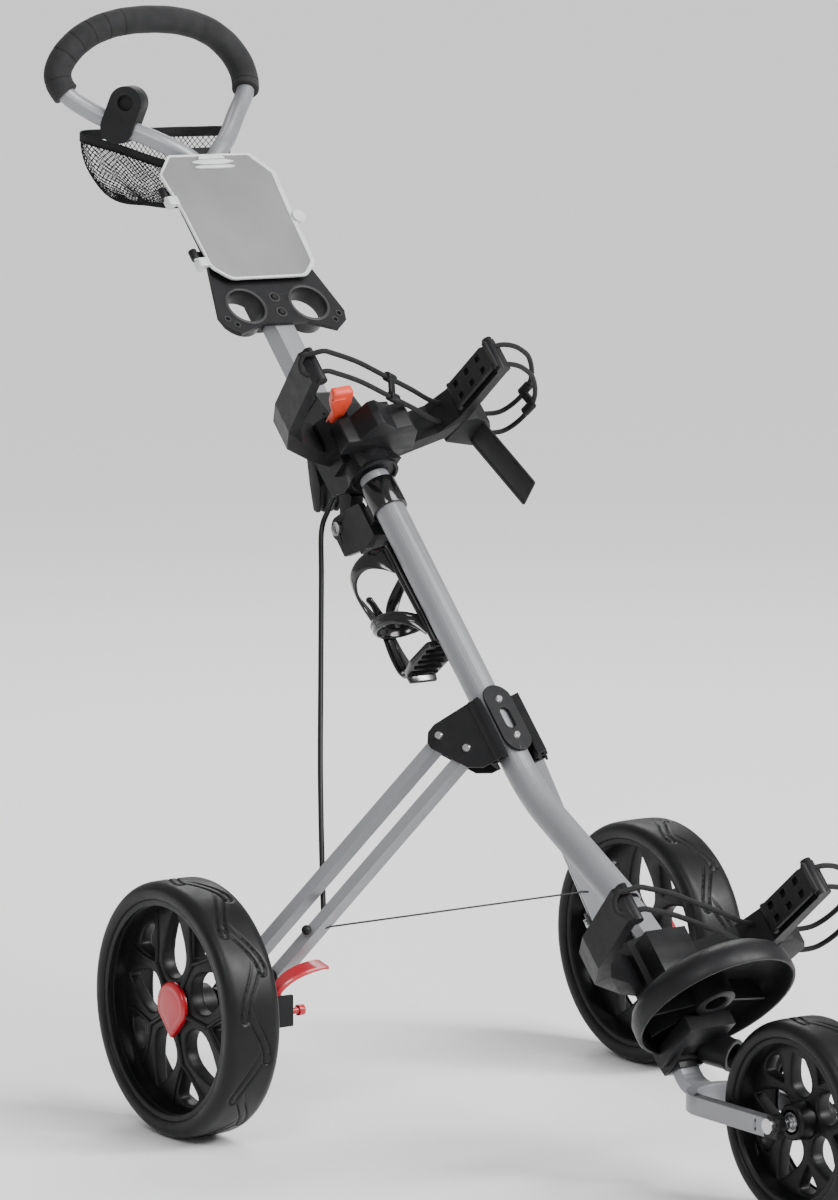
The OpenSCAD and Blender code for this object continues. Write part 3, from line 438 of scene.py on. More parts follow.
def dress_cad():
    """Gives the CAD nodes that stay their material and rounded edges."""
    for material, (names, bevel) in KEPT.items():
        for name in names:
            obj = nodes[name]
            for slot in obj.material_slots:
                slot.material = MAT[material]
            weld = obj.modifiers.new("weld", "WELD")
            weld.merge_threshold = WELD_GAP
            edge = obj.modifiers.new("edges", "BEVEL")
            edge.width = bevel * MM
            edge.segments = 2
            edge.limit_method = "ANGLE"
            edge.angle_limit = BEVELED_ANGLE
            edge.use_clamp_overlap = True


def fillet(points, r, steps=4):
    """Rounds the corners of a closed outline; a point may carry its own radius as a third number."""
    out = []
    for i, here in enumerate(points):
        p, a, b = Vector(here[:2]), Vector(points[i - 1][:2]), Vector(points[(i + 1) % len(points)][:2])
        radius = here[2] if len(here) > 2 else r
        u, v = a - p, b - p
        angle = u.angle(v)
        if radius <= 0 or angle > math.pi - 0.03:
            out.append(tuple(p))
            continue
        cut = min(radius / math.tan(angle / 2), u.length * 0.49, v.length * 0.49)
        start, end = p + u.normalized() * cut, p + v.normalized() * cut
        for k in range(steps + 1):
            t = k / steps
            out.append(tuple(start * (1 - t) ** 2 + p * 2 * t * (1 - t) + end * t * t))
    return out


def circle(x, y, r, sides=40):
    return [(x + r * math.cos(2 * math.pi * j / sides), y + r * math.sin(2 * math.pi * j / sides))
            for j in range(sides)]


def turned_outline(outline, degrees):
    c, s = math.cos(math.radians(degrees)), math.sin(math.radians(degrees))
    return [(x * c - y * s, x * s + y * c) for x, y in outline]


def plate(outlines, thickness, bevel):
    """A flat plate in x and y with holes and rounded edges, centred on z = 0."""
    curve = bpy.data.curves.new("outline", "CURVE")
    curve.dimensions = "2D"
    curve.fill_mode = "BOTH"
    curve.extrude = thickness / 2 - bevel
    curve.bevel_depth = bevel
    curve.bevel_resolution = 2
    curve.offset = -bevel
    for outline in outlines:
        line = curve.splines.new("POLY")
        line.points.add(len(outline) - 1)
        for point, (x, y) in zip(line.points, outline):
            point.co = (x, y, 0, 1)
        line.use_cyclic_u = True
    holder = bpy.data.objects.new("outline", curve)
    mesh = bpy.data.meshes.new_from_object(holder)
    shape = [v.co.copy() for v in mesh.vertices], [tuple(p.vertices) for p in mesh.polygons]
    bpy.data.objects.remove(holder)
    bpy.data.curves.remove(curve)
    bpy.data.meshes.remove(mesh)
    return shape


def turned(route, stations, sides=32, start=(0, 0, 1)):
    """A round sweep whose radius changes: stations are (distance along the route, radius)."""
    ways = [0.0]
    for a, b in zip(route, route[1:]):
        ways.append(ways[-1] + (b - a).length)
    points, radii = [], []
    for d, r in stations:
        i = max(k for k in range(len(ways) - 1) if ways[k] <= d or k == 0)
        t = (d - ways[i]) / (ways[i + 1] - ways[i])
        points.append(route[i].lerp(route[i + 1], t))
        radii.append(r)
    verts = []
    up = Vector(start)
    for i, p in enumerate(points):
        d = stations[i][0]
        k = min(max(j for j in range(len(ways)) if ways[j] <= d + 0.001), len(route) - 2)
        tangent = (route[k + 1] - route[max(k - 1, 0)]).normalized()
        up = (up - tangent * up.dot(tangent)).normalized()
        across = tangent.cross(up)
        verts += [p + up * (radii[i] * math.cos(2 * math.pi * j / sides))
                  + across * (radii[i] * math.sin(2 * math.pi * j / sides)) for j in range(sides)]
    return verts, ring_faces(len(points), sides, caps=True)


def route_length(route):
    return sum((b - a).length for a, b in zip(route, route[1:]))


# ---------------------------------------------------------------- wheels
def tyre_section(r, w, depth):
    """Half of a tyre's section from its middle to its inner edge, as (y, r) points."""
    shoulder = 13
    half = w / 2
    points = [(y, r - 1.2 * (y / half) ** 2) for y in [i * (half - shoulder) / 16 for i in range(17)]]
    edge = points[-1][1]
    points += [(half - shoulder + shoulder * math.sin(a), edge - shoulder * 0.8 * (1 - math.cos(a)))
               for a in [math.radians(9 * i) for i in range(1, 10)]]
    points += [(half, edge - shoulder * 0.8 - 1), (half - 0.4, r - depth + 2.2),
               (half - 1.6, r - depth + 0.6), (half - 4, r - depth)]
    return points


def groove(arc_mm, y, around, loops, half):
    """Depth of the hairpin sipes at a place on the tread."""
    deepest = 0.0
    pitch = around / loops
    for side, shift_by in ((1, 0), (-1, 0.5)):
        local = (arc_mm / pitch + shift_by) % 1 * pitch - 12
        u = min(max(local / (pitch * 0.72), 0), 1)
        middle = side * half * (0.46 - 0.8 * u * u * (3 - 2 * u))
        width = 4.2 + 1.6 * u
        off = math.hypot(min(local, 0), y - middle)
        fade = 1 if u < 0.55 else max(0, 1 - (u - 0.55) / 0.4)
        deepest = max(deepest, fade * math.exp(-((off - width) / 1.1) ** 2))
    return deepest * 2.4 * min(max((half - 6 - abs(y)) / 3, 0), 1)


def tyre(name, matrix, body, r, w, depth, steps, loops):
    half = tyre_section(r, w, depth)
    section = [(-y, h) for y, h in reversed(half[1:])] + half
    verts = []
    around = 2 * math.pi * r
    for j in range(steps):
        a = 2 * math.pi * j / steps
        for y, h in section:
            cut = groove(around * j / steps, y, around, loops, w / 2) if h > r - 3 else 0
            verts.append(((h - cut) * math.cos(a), y, (h - cut) * math.sin(a)))
    faces = ring_faces(steps, len(section), closed=True)
    add_piece(name + "_foam", verts, faces, "tyre_foam", body, matrix, [name], angle=70)


# Degrees to the first large window and from one to the next; the small ones stand between them
FIRST_WINDOW, WINDOW_STEP = 98, 72
FIRST_SPOKE = FIRST_WINDOW + WINDOW_STEP / 2


def window_large(k):
    """Round towards the hub, pointed towards the rim."""
    line = [(x * k, y * k) for x, y in ((107, 1.6), (96, 8.5), (84, 14.5), (72, 19.5), (60, 22.6))]
    hub_end = arc((55 * k, 0), 22.8 * k, 80, 280, 16)
    return line + hub_end + [(x, -y) for x, y in reversed(line)]


def window_small(k):
    """Pointed towards the hub, wide and rounded at the rim."""
    return fillet([(64 * k, 0, 3 * k), (99 * k, 22 * k, 8 * k), (108 * k, 0, 60 * k),
                   (99 * k, -22 * k, 8 * k)], 5 * k, 6)


def wheel(name, matrix, body, r, w, depth, hub_r, hub0, hub1, steps, loops):
    tyre(name + "_tyre", matrix, body, r, w, depth, steps, loops)
    edge, side, k = r - depth - 0.1, w / 2 - 3, (r - depth) / 120
    barrel = [(-side, edge), (-side, edge - 5), (-side + 2, edge - 6.5), (-side + 5, edge - 5.5),
              (-8, edge - 7), (0, edge - 7.5), (8, edge - 6.5), (side - 13, edge - 5),
              (side - 10, edge - 6.6), (side - 8.5, edge - 7), (side - 7, edge - 6.4),
              (side - 6.4, edge - 4.4), (side - 3, edge - 4), (side - 2, edge - 5.8),
              (side - 0.8, edge - 6), (side, edge - 4.6), (side, edge)]
    add_piece(name + "_barrel", *lathe_ring(barrel, 160), "rim_plastic", body, matrix, [name + "_rim"],
              angle=50)
    holes = [turned_outline(window_large(k), FIRST_WINDOW + WINDOW_STEP * i) for i in range(5)]
    holes += [turned_outline(window_small(k), FIRST_SPOKE + WINDOW_STEP * i) for i in range(5)]
    disc = plate([circle(0, 0, edge - 4, 120)] + holes + [circle(0, 0, hub_r - 4)], 17, 2.6)
    # The disc dishes towards the outside at the hub; x and y of the plate become x and z of the wheel
    verts = [(x, 7 - 9 * min(math.hypot(x, y) / edge, 1) + z * (1.15 - 0.3 * math.hypot(x, y) / edge), y)
             for x, y, z in disc[0]]
    add_piece(name + "_spokes", verts, disc[1], "rim_plastic", body, matrix, angle=50)
    # Raised ridge down the middle of each spoke, forking round the small window
    ridges = []
    for i in range(5):
        turn_by = turn(-(FIRST_SPOKE + WINDOW_STEP * i), "Y")
        stem = [(26 * k, 15, 0), (44 * k, 12.4, 0), (60 * k, 11, 0)]
        ridges.append(moved(sweep(smooth_route(stem, 3), circle(0, 0, 3.0 * k, 10), (0, 1, 0)), turn_by))
        for m in (-1, 1):
            arm = [(60 * k, 11, 0), (72 * k, 9.6, m * 11 * k), (88 * k, 7.6, m * 23.5 * k),
                   (104 * k, 5.6, m * 33 * k)]
            ridges.append(moved(sweep(smooth_route(arm, 3), circle(0, 0, 2.4 * k, 10), (0, 1, 0)), turn_by))
    add_piece(name + "_ridges", *join_shapes(*ridges), "rim_plastic", body, matrix, angle=60)
    hub = [(hub0, 13), (hub0, hub_r - 3), (hub0 + 2, hub_r - 1), (-6, hub_r), (hub1 - 6, hub_r),
           (hub1 - 1, hub_r - 1), (hub1, hub_r - 3), (hub1, 13)]
    add_piece(name + "_hub", *lathe_ring(hub, 64), "rim_plastic", body, matrix, angle=40)


def drop_cap(name, matrix, body, y0):
    """Red cap: round above, coming to a point below, with a domed face."""
    outline = fillet([(-x, z) for x, z in arc((0, 3), 27, -20, 200, 24)] + [(0, -33, 5)], 0)
    rings = [(1.0, 0), (1.0, 3.6), (0.97, 5.2), (0.9, 6.3), (0.78, 6.6), (0.74, 6.3), (0.7, 6.5), (0.4, 7.1),
             (0.15, 7.2)]
    verts = [(x * k, y0 + h, z * k) for k, h in rings for x, z in outline]
    faces = ring_faces(len(rings), len(outline), caps=True)
    add_piece(name + "_drop", verts, faces, "red_gloss", body, matrix, [name], angle=40)


def add_wheels():
    for name, matrix in (("right", WHEELS["right"] @ MIRROR_Y), ("left", WHEELS["left"])):
        wheel(name, matrix, name + "_wheel", r=140, w=66, depth=20, hub_r=25, hub0=-27, hub1=15,
              steps=620, loops=9)
        drop_cap(name + "_hub_cap", matrix, name + "_wheel", 15.5)
    wheel("front", FRONT, "front_wheel", r=104, w=61, depth=18, hub_r=20, hub0=-23, hub1=23, steps=460,
          loops=7)


# ---------------------------------------------------------------- handle
HANDLE_HALF = [(-448, 13, 1025), (-456, 27, 1036), (-472, 50, 1050), (-517, 90, 1073), (-536, 112, 1089),
               (-547, 125, 1101), (-557, 130, 1116), (-562, 127, 1132), (-563, 112, 1152),
               (-562.5, 88, 1170), (-562, 58, 1181), (-561, 28, 1186), (-561, 0, 1187)]
HANDLE_R, HANDLE_STEPS = 10.8, 8
# The grip starts and ends at this point of HANDLE_HALF
GRIP_FROM = 5


def relax(route, passes):
    """Evens out small kinks in a route, with its ends kept."""
    for _ in range(passes):
        route = [p if i in (0, len(route) - 1) else (route[i - 1] + p * 2 + route[i + 1]) / 4
                 for i, p in enumerate(route)]
    return route


def add_handle():
    """Round handle tube and the foam grip with its wrap seams."""
    half = smooth_route(HANDLE_HALF, HANDLE_STEPS)
    route = relax(half + [Vector((p.x, -p.y, p.z)) for p in reversed(half[:-1])], 26)
    tube = sweep(route, circle(0, 0, HANDLE_R, 32))
    add_piece("handle_tube", *tube, "frame_metal", "handle", DESIGN, ["handle_loop"])
    first = GRIP_FROM * HANDLE_STEPS
    middle = route[first:len(route) - first]
    length = route_length(middle)
    stations = [(0, 11.3), (0, 14.8), (0.6, 15.8), (1.8, 16.25)]
    seams = [length * share for share in (0.03, 0.62, 0.68, 0.74, 0.8, 0.86, 0.95)]
    at = 4.0
    while at < length - 4:
        if not any(abs(at - s) < 2.4 for s in seams):
            stations.append((at, 16.2 + 0.12 * math.sin(at * 0.21) + 0.08 * math.sin(at * 0.047)))
        at += 2.5
    for s in seams:
        stations += [(s - 1.6, 16.2), (s - 0.8, 15.75), (s, 15.3), (s + 0.5, 16.3), (s + 1.6, 16.25)]
    stations += [(length - 1.8, 16.25), (length - 0.6, 15.8), (length - 0.01, 14.8), (length, 11.3)]
    grip = add_piece("foam_grip", *turned(middle, sorted(stations), 40), "grip_foam", "handle", DESIGN,
                     ["grip"], angle=70)


# ---------------------------------------------------------------- console, flap and net bag
FLAP_EDGE = [(-793, -56), (-764, -80), (-706, -73), (-625, -72, 16), (-606, -52, 16), (-606, 52, 16),
             (-625, 72, 16), (-706, 76), (-764, 80), (-793, 56)]
FLAP_PANE = [(-790, -54), (-764, -76.5), (-707, -70.5), (-626, -69, 14), (-609, -50, 14), (-609, 48, 14),
             (-627, 66, 14), (-707, 69), (-762, 73), (-790, 52)]


def add_flap():
    """Frosted flap: a pane in a paler bevelled border, with finger ribs, a knob and hinge tabs."""
    pane = moved(plate([fillet(FLAP_PANE, 6)], 2, 0.3), shift(0, 0, -7.2))
    add_piece("flap_pane", *pane, "clear_flap", "flap", TUBE, ["card_flap"])
    border = moved(plate([fillet(FLAP_EDGE, 8), fillet(FLAP_PANE, 6)], 3.6, 0.9), shift(0, 0, -6.9))
    shapes = [border]
    for outline in ([(-790.5, -15), (-790.5, 15), (-784.5, 19), (-784.5, -19)],
                    [(-783.5, -17), (-783.5, 17), (-780, 31), (-776.5, 15), (-776.5, -15), (-780, -31)],
                    [(-775, -20), (-775, 20), (-772.5, 30), (-770.5, 20), (-770.5, -20), (-772.5, -30)]):
        shapes.append(moved(plate([fillet(outline, 1)], 2.6, 0.5), shift(0, 0, -5)))
    knob = [(-8.5, 0.01), (-8.5, 8.2), (-7.6, 9), (-3, 9), (-2, 8.4), (-1.6, 7), (-2.2, 4), (-2.4, 0.01)]
    shapes.append(moved(lathe_ring(knob, 40), shift(-693, 79, 0) @ turn(90, "X")))
    for s in (-732, -640):
        shapes.append(moved(plate([fillet([(-84, -18), (-84, -5.4), (-70, -5.4), (-70, -9), (-76, -12),
                                           (-76, -18)], 3)], 12, 0.8), shift(s + 6, 0, 0) @ STAND_X))
        shapes.append(moved(rod(2.4, -14, 4, 20, 0.5), shift(s, -80, -14)))
    add_piece("flap_border", *join_shapes(*shapes), "clear_edge", "flap", TUBE)


def add_console_details():
    """Lips round the ball holes, sunk screw seats and edge steps on the console."""
    shapes = []
    for y in (-43, 43):
        lip = [(-15.4, 22.9), (-15.4, 26.6), (-14.6, 26.4), (-13.9, 25), (-13.9, 23.8), (-14.5, 22.9)]
        shapes.append(moved(lathe_ring(lip, 72), shift(-573.6, y, 0) @ turn(90, "X")))
    for s in (-584, -562):
        seat = [(-15.3, 4.9), (-15.3, 7.4), (-14.3, 6.9), (-14.2, 5.2)]
        shapes.append(moved(lathe_ring(seat, 36), shift(s, 0, 0) @ turn(90, "X")))
    for m in (-1, 1):
        for i in (0, 1):
            seat = [(-15.3, 2.7), (-15.3, 4.4), (-14.4, 4.1), (-14.4, 2.8)]
            place = shift(-556 + 9 * i, m * (76 - 9 * i), 0) @ turn(90, "X")
            shapes.append(moved(lathe_ring(seat, 28), place))
    add_piece("console_lips", *join_shapes(*shapes), "grey_plastic", "handle", TUBE)


def loop_place(corners, u):
    """A place on a closed rounded loop through the corners, for u from 0 to 1."""
    n = len(corners)
    i = int(u * n) % n
    t = u * n - int(u * n)
    a, b, c, d = (Vector(corners[(i + k) % n]) for k in (-1, 0, 1, 2))
    return 0.5 * (2 * b + (c - a) * t + (2 * a - 5 * b + 4 * c - d) * t * t
                  + (3 * b - a - 3 * c + d) * t ** 3)


NET_RIM = [(-550, 104, 1052), (-556, 52, 1054), (-557, 0, 1054), (-556, -52, 1054), (-550, -104, 1052),
           (-518, -68, 1037), (-487, -30, 1021), (-483, 0, 1019), (-487, 30, 1021), (-518, 68, 1037)]
NET_FOOT = [(-529, 36, 972), (-536, 20, 970), (-538, 0, 969), (-536, -20, 970), (-529, -36, 972),
            (-519, -30, 971), (-510, -18, 969), (-508, 0, 968), (-510, 18, 969), (-519, 30, 971)]


def net_place(u, v):
    rim, foot = loop_place(NET_RIM, u % 1), loop_place(NET_FOOT, u % 1)
    across = 1 - math.cos(v * math.pi / 2)
    down = math.sin(v * math.pi / 2)
    p = Vector((rim.x + (foot.x - rim.x) * across, rim.y + (foot.y - rim.y) * across,
                rim.z + (foot.z - rim.z) * down))
    sag = math.sin(v * math.pi) * 1.6
    return p + Vector((0, 0, -sag * math.sin(u * 34) - 0.8 * sag * math.sin(u * 81 + v * 9)))


def add_net():
    """Net bag of knotted diamonds with a bound hem, hung between the handle's tubes."""
    columns, rows = 84, 36
    verts = [net_place((i + 0.5 * (j % 2)) / columns, j / rows) for j in range(rows + 1)
             for i in range(columns)]
    faces = []
    for j in range(rows - 1):
        for i in range(columns):
            odd = j % 2
            left = (i - 1 + odd) % columns
            right = (i + odd) % columns
            faces.append((j * columns + i, (j + 1) * columns + left, (j + 2) * columns + i,
                          (j + 1) * columns + right))
    net = add_piece("net_strands", verts, faces, "net_mesh", "handle", DESIGN, ["net_bag"])
    strand = net.modifiers.new("strands", "WIREFRAME")
    strand.thickness = 0.0014
    strand.use_boundary = True
    strand.use_even_offset = False
    floor_u = [net_place(i / columns, 1) for i in range(columns)]
    middle = sum(floor_u, Vector()) / columns
    rings = 7
    verts = [middle + (p - middle) * (k / rings) for k in range(1, rings + 1) for p in floor_u]
    faces = ring_faces(rings, columns)
    faces.append(tuple(range(columns - 1, -1, -1)))
    gather = add_piece("net_gather", verts, faces, "hem_cloth", "handle", DESIGN)
    solid = gather.modifiers.new("cloth", "SOLIDIFY")
    solid.thickness = 0.001
    route = [loop_place(NET_RIM, i / 120) for i in range(121)]
    band = sweep(route, flat_outline(12, 2.8, 0.9), caps=False)
    hem = add_piece("net_hem", *band, "hem_cloth", "handle", DESIGN)


# ---------------------------------------------------------------- bottle cage
CAGE_N, CAGE_R = -62, 36
# One side of the arms as (angle round the bottle, s, width), and of the ridge as (angle, s)
UPPER_ARM = [(2, -213, 40), (28, -220, 29), (60, -225, 18), (95, -222, 14), (125, -212, 14),
             (148, -198, 14), (160, -183, 14), (164, -168, 14)]
LOWER_ARM = [(4, -118, 22), (24, -132, 17), (55, -147, 14), (90, -156, 14), (125, -161, 15),
             (152, -164, 16), (181, -165, 16)]
RIDGE = [(26, -134), (55, -147), (90, -156), (125, -161), (152, -164), (178, -165)]


def wrap_band(route, thickness, radius):
    """A rounded band laid round the bottle's axis: route points are (angle, s, width)."""
    route = smooth_route(route, 8)
    verts = []
    t = thickness / 2
    for i, p in enumerate(route):
        d = route[min(i + 1, len(route) - 1)] - route[max(i - 1, 0)]
        along = Vector((math.radians(d[0]) * radius, d[1])).normalized()
        for across, lift in ((0.5, -t * 0.4), (0.5, t * 0.4), (0.42, t), (0.12, t * 1.25), (-0.12, t * 1.25),
                             (-0.42, t), (-0.5, t * 0.4), (-0.5, -t * 0.4), (-0.42, -t), (0.42, -t)):
            a = math.radians(p[0]) - along.y * across * p[2] / radius
            s = p[1] + along.x * across * p[2]
            verts.append((s, (radius + lift) * math.sin(a), CAGE_N + (radius + lift) * math.cos(a)))
    return verts, ring_faces(len(route), 10, caps=True)


def add_bottle_cage():
    """Glossy cage: slotted spine, upper arms that return as a ridged band, and a long tongue."""
    shapes = []
    for m in (-1, 1):
        for arm in (UPPER_ARM, LOWER_ARM):
            shapes.append(wrap_band([(m * a, s, wide) for a, s, wide in arm], 3.4, CAGE_R))
        for side in (-3.6, 3.6):
            ridge = [(m * a, s + side, 2.2) for a, s in RIDGE]
            shapes.append(wrap_band(ridge, 1.6, CAGE_R + 2))
        rail = [(-228, m * 11, -24.5), (-200, m * 10.5, -25), (-150, m * 9, -25), (-98, m * 8, -24.5)]
        shapes.append(cord_shape(rail, 2.6, 4, 12, (0, 0, 1)))
    spine = fillet([(-234, -12), (-234, 12), (-200, 11), (-150, 9.5), (-93, 9), (-93, -9), (-150, -9.5),
                    (-200, -11)], 5)
    slot = fillet([(-192, -3.2), (-192, 3.2), (-168, 3.2), (-168, -3.2)], 3)
    shapes.append(moved(plate([spine, slot], 5, 1.2), shift(0, 0, -21)))
    foot = fillet([(-19, -22), (19, -22), (25, -56), (20, -82), (-20, -82), (-25, -56)], 7)
    shapes.append(moved(plate([foot], 7, 1.4), shift(-95, 0, 0) @ STAND_X))
    lip = fillet([(-98, -74), (-84, -79), (-84, -83), (-98, -84)], 1.5)
    shapes.append(moved(plate([lip], 36, 1), STAND_Y))
    for i in range(5):
        shapes.append(block((-92.2, -18, -34 - 10 * i), (-89.6, 18, -31 - 10 * i)))
    tongue = [(-94, 0, -78), (-99, 0, -90), (-112, 0, -98.5), (-135, 0, -102), (-160, 0, -101),
              (-185, 0, -98.8), (-204, 0, -100), (-213, 0, -102.5)]

    def narrowing(share):
        wide = 38 - 29 * min(share * 1.2, 1) ** 0.8
        return flat_outline(4.2, wide, 1.3)
    shapes.append(sweep(smooth_route(tongue, 8), narrowing, (0, 0, 1)))
    ball = [(x, r) for r, x in arc((0, 0), 4.4, -80, 80, 8)]
    shapes.append(moved(lathe_open(ball, 24), shift(-214, 0, -102.8) @ turn(90, "Z")))
    add_piece("cage", *join_shapes(*shapes), "gloss_black", "frame", TUBE, ["bottle_cage"], angle=50)


# ---------------------------------------------------------------- brackets, cords and latch
CRADLE_UP, CRADLE_LOW = (-365, -18), (392, 46)
CROSS_CORD = [(0, -128, 160), (0, -112, 165), (0, -96, 160), (0, -55, 142), (0, -5, 114), (0, 45, 86),
              (0, 85, 62), (0, 118, 50), (0, 142, 46)]
LOOP_CORD = [(0, 122, 154), (0, 134, 157), (0, 150, 154), (0, 166, 146), (0, 186, 130), (0, 206, 100),
             (0, 214, 72), (0, 210, 48), (0, 198, 32), (0, 178, 30), (0, 162, 35), (0, 150, 42)]
# Where the two cords of a cradle lie, along the tube and above it
CORD_PAIR = ((-10, 4), (10, -6))
CORD_R, CABLE_R, WIRE_R = 2.9, 3.05, 1.1


def add_cords(node, cradle):
    """Two elastic cords across the cradle and round the far side."""
    shapes = []
    for x, z in CORD_PAIR:
        for route in (CROSS_CORD, LOOP_CORD):
            cord = cord_shape(route, CORD_R, 7, 14)
            shapes.append(moved(cord, shift(cradle[0] + x, 0, cradle[1] + z)))
    # The turn round the near hook joins the two cords
    turn_points = [(-10, -127.5, 164), (-11, -133, 162), (-6, -137, 156), (3, -137, 151), (9, -133, 152),
                   (10, -127.5, 154)]
    shapes.append(moved(cord_shape(turn_points, 2.8, 6, 14, (0, 0, 1)), shift(cradle[0], 0, cradle[1])))
    add_piece(node + "_round", *join_shapes(*shapes), "elastic_cord",
              "handle" if cradle is CRADLE_UP else "frame", TUBE, [node], angle=80)


def add_joiners():
    """Moulded clips that hold the two upper cords side by side."""
    shapes = []
    for y, z, lean in ((5, 109, -30), (212, 72, 78)):
        here = shift(CRADLE_UP[0], y, CRADLE_UP[1] + z) @ turn(lean, "X")
        for x, dz in CORD_PAIR:
            aside, lift = dz * math.sin(math.radians(lean)), dz * math.cos(math.radians(lean))
            clip = [(-8, 3.0), (-8, 4.6), (-7, 5.6), (7, 5.6), (8, 4.6), (8, 3.0)]
            shapes.append(moved(lathe_ring(clip, 28), here @ shift(x, aside, lift)))
        bar = fillet([(-9, -3), (-6, -5), (6, -5), (9, -3), (9, 3), (6, 5), (-6, 5), (-9, 3)], 1.5)
        shapes.append(moved(plate([bar], 4, 1), here @ turn(24, "Y")))
    add_piece("cord_clips", *join_shapes(*shapes), "black_plastic", "handle", TUBE, ["bungee_joiners"])


def add_buckle(node, cradle, body):
    """Strap buckle with two rows of holes on the far arm, and the block that takes the cord ends."""
    holes = [fillet([(x - 3.6, z - 4), (x + 3.6, z - 4), (x + 3.6, z + 4), (x - 3.6, z + 4)], 0.8, 2)
             for x in (-8, 8) for z in (-24, -2, 20)]
    outline = fillet([(-16, -37), (16, -37), (16, 30), (12, 38), (-12, 38), (-16, 30)], 3)
    place = shift(cradle[0], 108.5, cradle[1] + 120) @ turn(-8.6, "X")
    shapes = [moved(plate([outline] + holes, 6, 1), place @ STAND_Y),
              moved(plate([fillet([(-13, -34), (13, -34), (13, 34), (-13, 34)], 2)], 2, 0.5),
                    place @ shift(0, 3.2, 0) @ STAND_Y)]
    for z in (-36, 37):
        shapes.append(moved(rod(3.4, -18, 18, 24, 1), place @ shift(0, 1, z)))
    shapes.append(moved(block((-17, 4, 30), (17, 24, 36)), place))
    base = shift(cradle[0], 135, cradle[1] + 82) @ turn(-14, "X")
    anchor = fillet([(-12, -60), (-12, -20), (4, -13), (26, -17), (36, -27), (36, -60)], 5)
    shapes.append(moved(plate([anchor], 42, 1.6), base @ STAND_X))
    for x in (-10, 10):
        shapes.append(moved(rod(4.6, -6, 6, 24, 1.2), base @ shift(x, 30, -42) @ turn(90, "Z")))
    add_piece(node + "_block", *join_shapes(*shapes), "rubber_strap", body, TUBE, [node], angle=40)


def add_latch():
    """Red latch: a wide rounded head that narrows to its stem."""
    head = fillet([(-64, 88), (-38, 92, 6), (-31, 70, 5), (-30, 48), (-29, 26, 2), (-41, 26, 2), (-43, 46),
                   (-56, 66, 5)], 4, 6)
    shape = moved(plate([head], 11, 2.6), shift(-374, -1, -9) @ STAND_X)
    stem = plate([fillet([(-41, -6), (-31, -6), (-31, 24), (-41, 24)], 2)], 10, 1)
    scoop = moved(plate([fillet([(-60, 72), (-46, 75), (-44, 81), (-60, 78)], 2)], 2, 0.6),
                  shift(-368.2, -1, -9) @ STAND_X)
    add_piece("latch", *join_shapes(shape, moved(stem, shift(-374, 0, 0) @ STAND_X), scoop), "latch_red",
              "button", TUBE, ["latch_button"])


def add_lever():
    """Cam lever with long finger grooves and a rolled end."""
    side = [(-404, -62), (-397, -60), (-356, -74), (-340, -90), (-337, -99), (-344, -104), (-372, -89),
            (-408, -66)]
    ribs = [moved(plate([fillet(side, 4)], 4.2, 1), shift(0, y, 0) @ STAND_Y)
            for y in (-12.6, -4.2, 4.2, 12.6)]
    core = [(-404, -60), (-396, -58), (-358, -73), (-343, -89), (-340, -97), (-345, -100), (-372, -86),
            (-408, -64)]
    shapes = ribs + [moved(plate([fillet(core, 3)], 30, 1), STAND_Y)]
    shapes.append(moved(rod(8.6, -15, 15, 40, 1), shift(-404, 0, -54) @ turn(90, "Z")))
    add_piece("lever", *join_shapes(*shapes), "black_plastic", "lever", TUBE, ["cam_lever"])


def add_upper_details():
    """Skirt, ribs and raised saddle of the upper bracket, and the end of its strap."""
    skirt = [(-334, 23), (-330, 27.5), (-316, 28.4), (-311, 30), (-309, 30), (-309, 27), (-312, 25),
             (-316, 23)]
    shapes = [moved(lathe_ring(skirt, 64), turn(-90, "Z"))]
    for m in (-1, 1):
        for i in range(3):
            shapes.append(block((-430 + 26 * i, m * 24 - 1.2, -48), (-424 + 26 * i, m * 24 + 1.2, 0)))
    saddle = [(-46, 20), (-46, 42), (-30, 44), (-20, 70), (-12, 74), (10, 62), (30, 66), (42, 54), (52, 20)]
    shapes.append(moved(plate([fillet(saddle, 3)], 34, 1.4), shift(-346, 0, 0) @ STAND_X))
    add_piece("upper_trim", *join_shapes(*shapes), "black_plastic", "handle", TUBE)
    strap = plate([fillet([(-18, -44), (18, -44), (18, 62), (-18, 62)], 3)], 2.6, 0.7)
    stitch = [block((x - 0.5, -42, -1.7), (x + 0.5, 60, 1.7)) for x in (-14, 14)]
    hang = shift(-326, 150, 8) @ turn(8, "Z") @ turn(-8, "Y") @ shift(44, 0, 18) @ STAND_Y @ turn(90, "Z")
    add_piece("strap_end", *moved(join_shapes(strap, *stitch), hang), "rubber_strap", "handle", TUBE,
              ["upper_strap"])


# Centre line of the bent stem as x and z, from the tube to the fork
STEM = [(332, 296.5), (368, 277), (392, 262), (424, 236), (443, 200), (451, 172), (461, 134), (481, 106),
        (512, 100)]
# The part of the stem's route that the sleeve covers, and the sleeve's size
SLEEVE_PART, SLEEVE_SIZE = slice(20, 27), (23, 33)
# The dish's axis above the tube's
DISH_N = 112


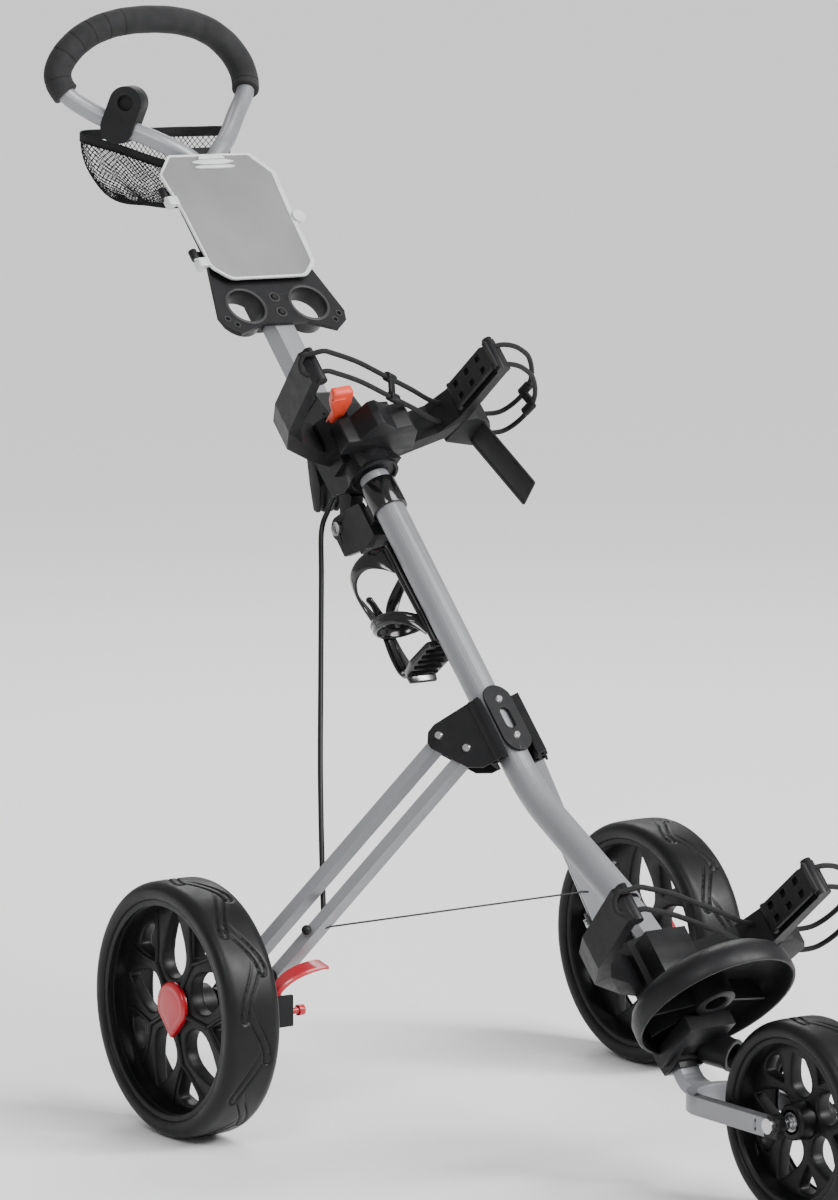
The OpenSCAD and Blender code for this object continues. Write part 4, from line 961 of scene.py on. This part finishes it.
def add_dish():
    """Bag rest: a deep dish open towards the front, with webs, a horn and a sleeve round the stem."""
    wall = [(440, 0.5), (440, 66), (443, 76), (450, 85), (458, 89.4), (466, 90), (474, 90), (477, 88.6),
            (477, 86), (474, 84.4), (464, 84), (455, 80), (447, 71), (444, 60), (443.4, 0.5)]
    shapes = [moved(lathe_ring(wall, 96), shift(0, 0, DISH_N) @ turn(-90, "Z"))]
    for degrees in (-90, -50, -130, -10, 190):
        rib = block((443, -1.6, 14), (468, 1.6, 76))
        shapes.append(moved(rib, shift(0, 0, DISH_N) @ turn(degrees - 90, "X")))
    ring = [(443, 12), (472, 12), (473, 14), (473, 20), (472, 22), (443, 22)]
    shapes.append(moved(lathe_ring(ring, 48), shift(0, 0, DISH_N) @ turn(-90, "Z")))
    keel = fillet([(440, 8), (440, 40), (456, 60), (456, 100), (474, 78), (488, 52), (494, 30), (492, 8)], 6)
    for y in (-18, 18):
        shapes.append(moved(plate([keel], 3.4, 1), shift(0, y, 0) @ STAND_Y))
    shapes.append(moved(plate([fillet([(-18, 60), (18, 60), (20, 22), (-20, 22)], 4)], 4, 1.2),
                        shift(486, 0, 0) @ STAND_X))
    horn = [(-3, 15), (-3, 18), (0, 19.4), (26, 17), (30, 18), (32, 17.4), (32, 13.5), (28, 12.6), (0, 14)]
    shapes.append(moved(lathe_ring(horn, 48), shift(484, 24, 44) @ turn(58, "X") @ turn(-52, "Z")))
    for outline, wide in (([(440, 8), (492, 8), (492, 40), (440, 40)], 38),
                          ([(470, 20), (488, 20), (488, 92), (470, 92)], 60)):
        shapes.append(moved(plate([outline], wide, 1), STAND_Y))
    add_piece("dish", *join_shapes(*shapes), "black_plastic", "frame", TUBE, ["bag_rest"], angle=40)
    route = smooth_route([(x, 0, z) for x, z in STEM], 4)[SLEEVE_PART]
    sleeve = sweep(route, flat_outline(*SLEEVE_SIZE, 2), (1, 0, 0))
    add_piece("stem_sleeve", *sleeve, "black_plastic", "frame", DESIGN)


def add_brake():
    """Curved red pedal and its pin."""
    def fin(share):
        wide = 13 + 13 * math.sin(min(share * 1.3, 1) * math.pi / 2)
        thick = 7 - 3.4 * share
        return flat_outline(thick, wide, 1.6)
    route = smooth_route([(62, -246, 152), (62, -238, 163), (64, -226, 173), (67, -210, 180),
                          (69, -192, 183.5), (70, -184, 183)], 6)
    pedal = sweep(route, fin, (0, -0.7, 0.7))
    pivot = moved(rod(5.4, -8, 8, 32, 0.8), shift(62, -246, 152))
    add_piece("pedal_fin", *join_shapes(pedal, pivot), "red_gloss", "brake_pedal", DESIGN, ["brake_pedal"])


def add_cable_and_wire():
    """Sheathed cable from the hinge body to the right lower bar, and the two halves of the thin wire."""
    route = [(-150, -20, 662), (-158, -22, 646), (-160, -30, 622), (-134, -48, 572), (-81, -85, 471),
             (-29, -121, 370), (23, -154, 270), (53, -172, 219)]
    cable = add_piece("sheathed_cable", *cord_shape(route, CABLE_R, 10, 16), "cable_sheath", None, DESIGN,
                      ["tension_cable"], angle=80)
    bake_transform(cable)
    for side, m, replaced in (("right", -1, ["arm_wire"]), ("left", 1, [])):
        half = [(64, m * 178 * i / 8, 222.5) for i in range(9)]
        wire = add_piece(side + "_wire", *cord_shape(half, WIRE_R, 2, 12), "cable_sheath", None, DESIGN,
                         replaced, angle=80)
        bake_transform(wire)


add_camera()
add_stage()
add_wheels()
add_handle()
add_flap()
add_console_details()
add_net()
add_bottle_cage()
add_joiners()
add_latch()
add_lever()
add_upper_details()
add_dish()
add_brake()
add_cable_and_wire()
add_cords("upper_bungee", CRADLE_UP)
add_cords("lower_bungee", CRADLE_LOW)
add_buckle("upper_buckle", CRADLE_UP, "handle")
add_buckle("lower_buckle", CRADLE_LOW, "frame")
dress_cad()
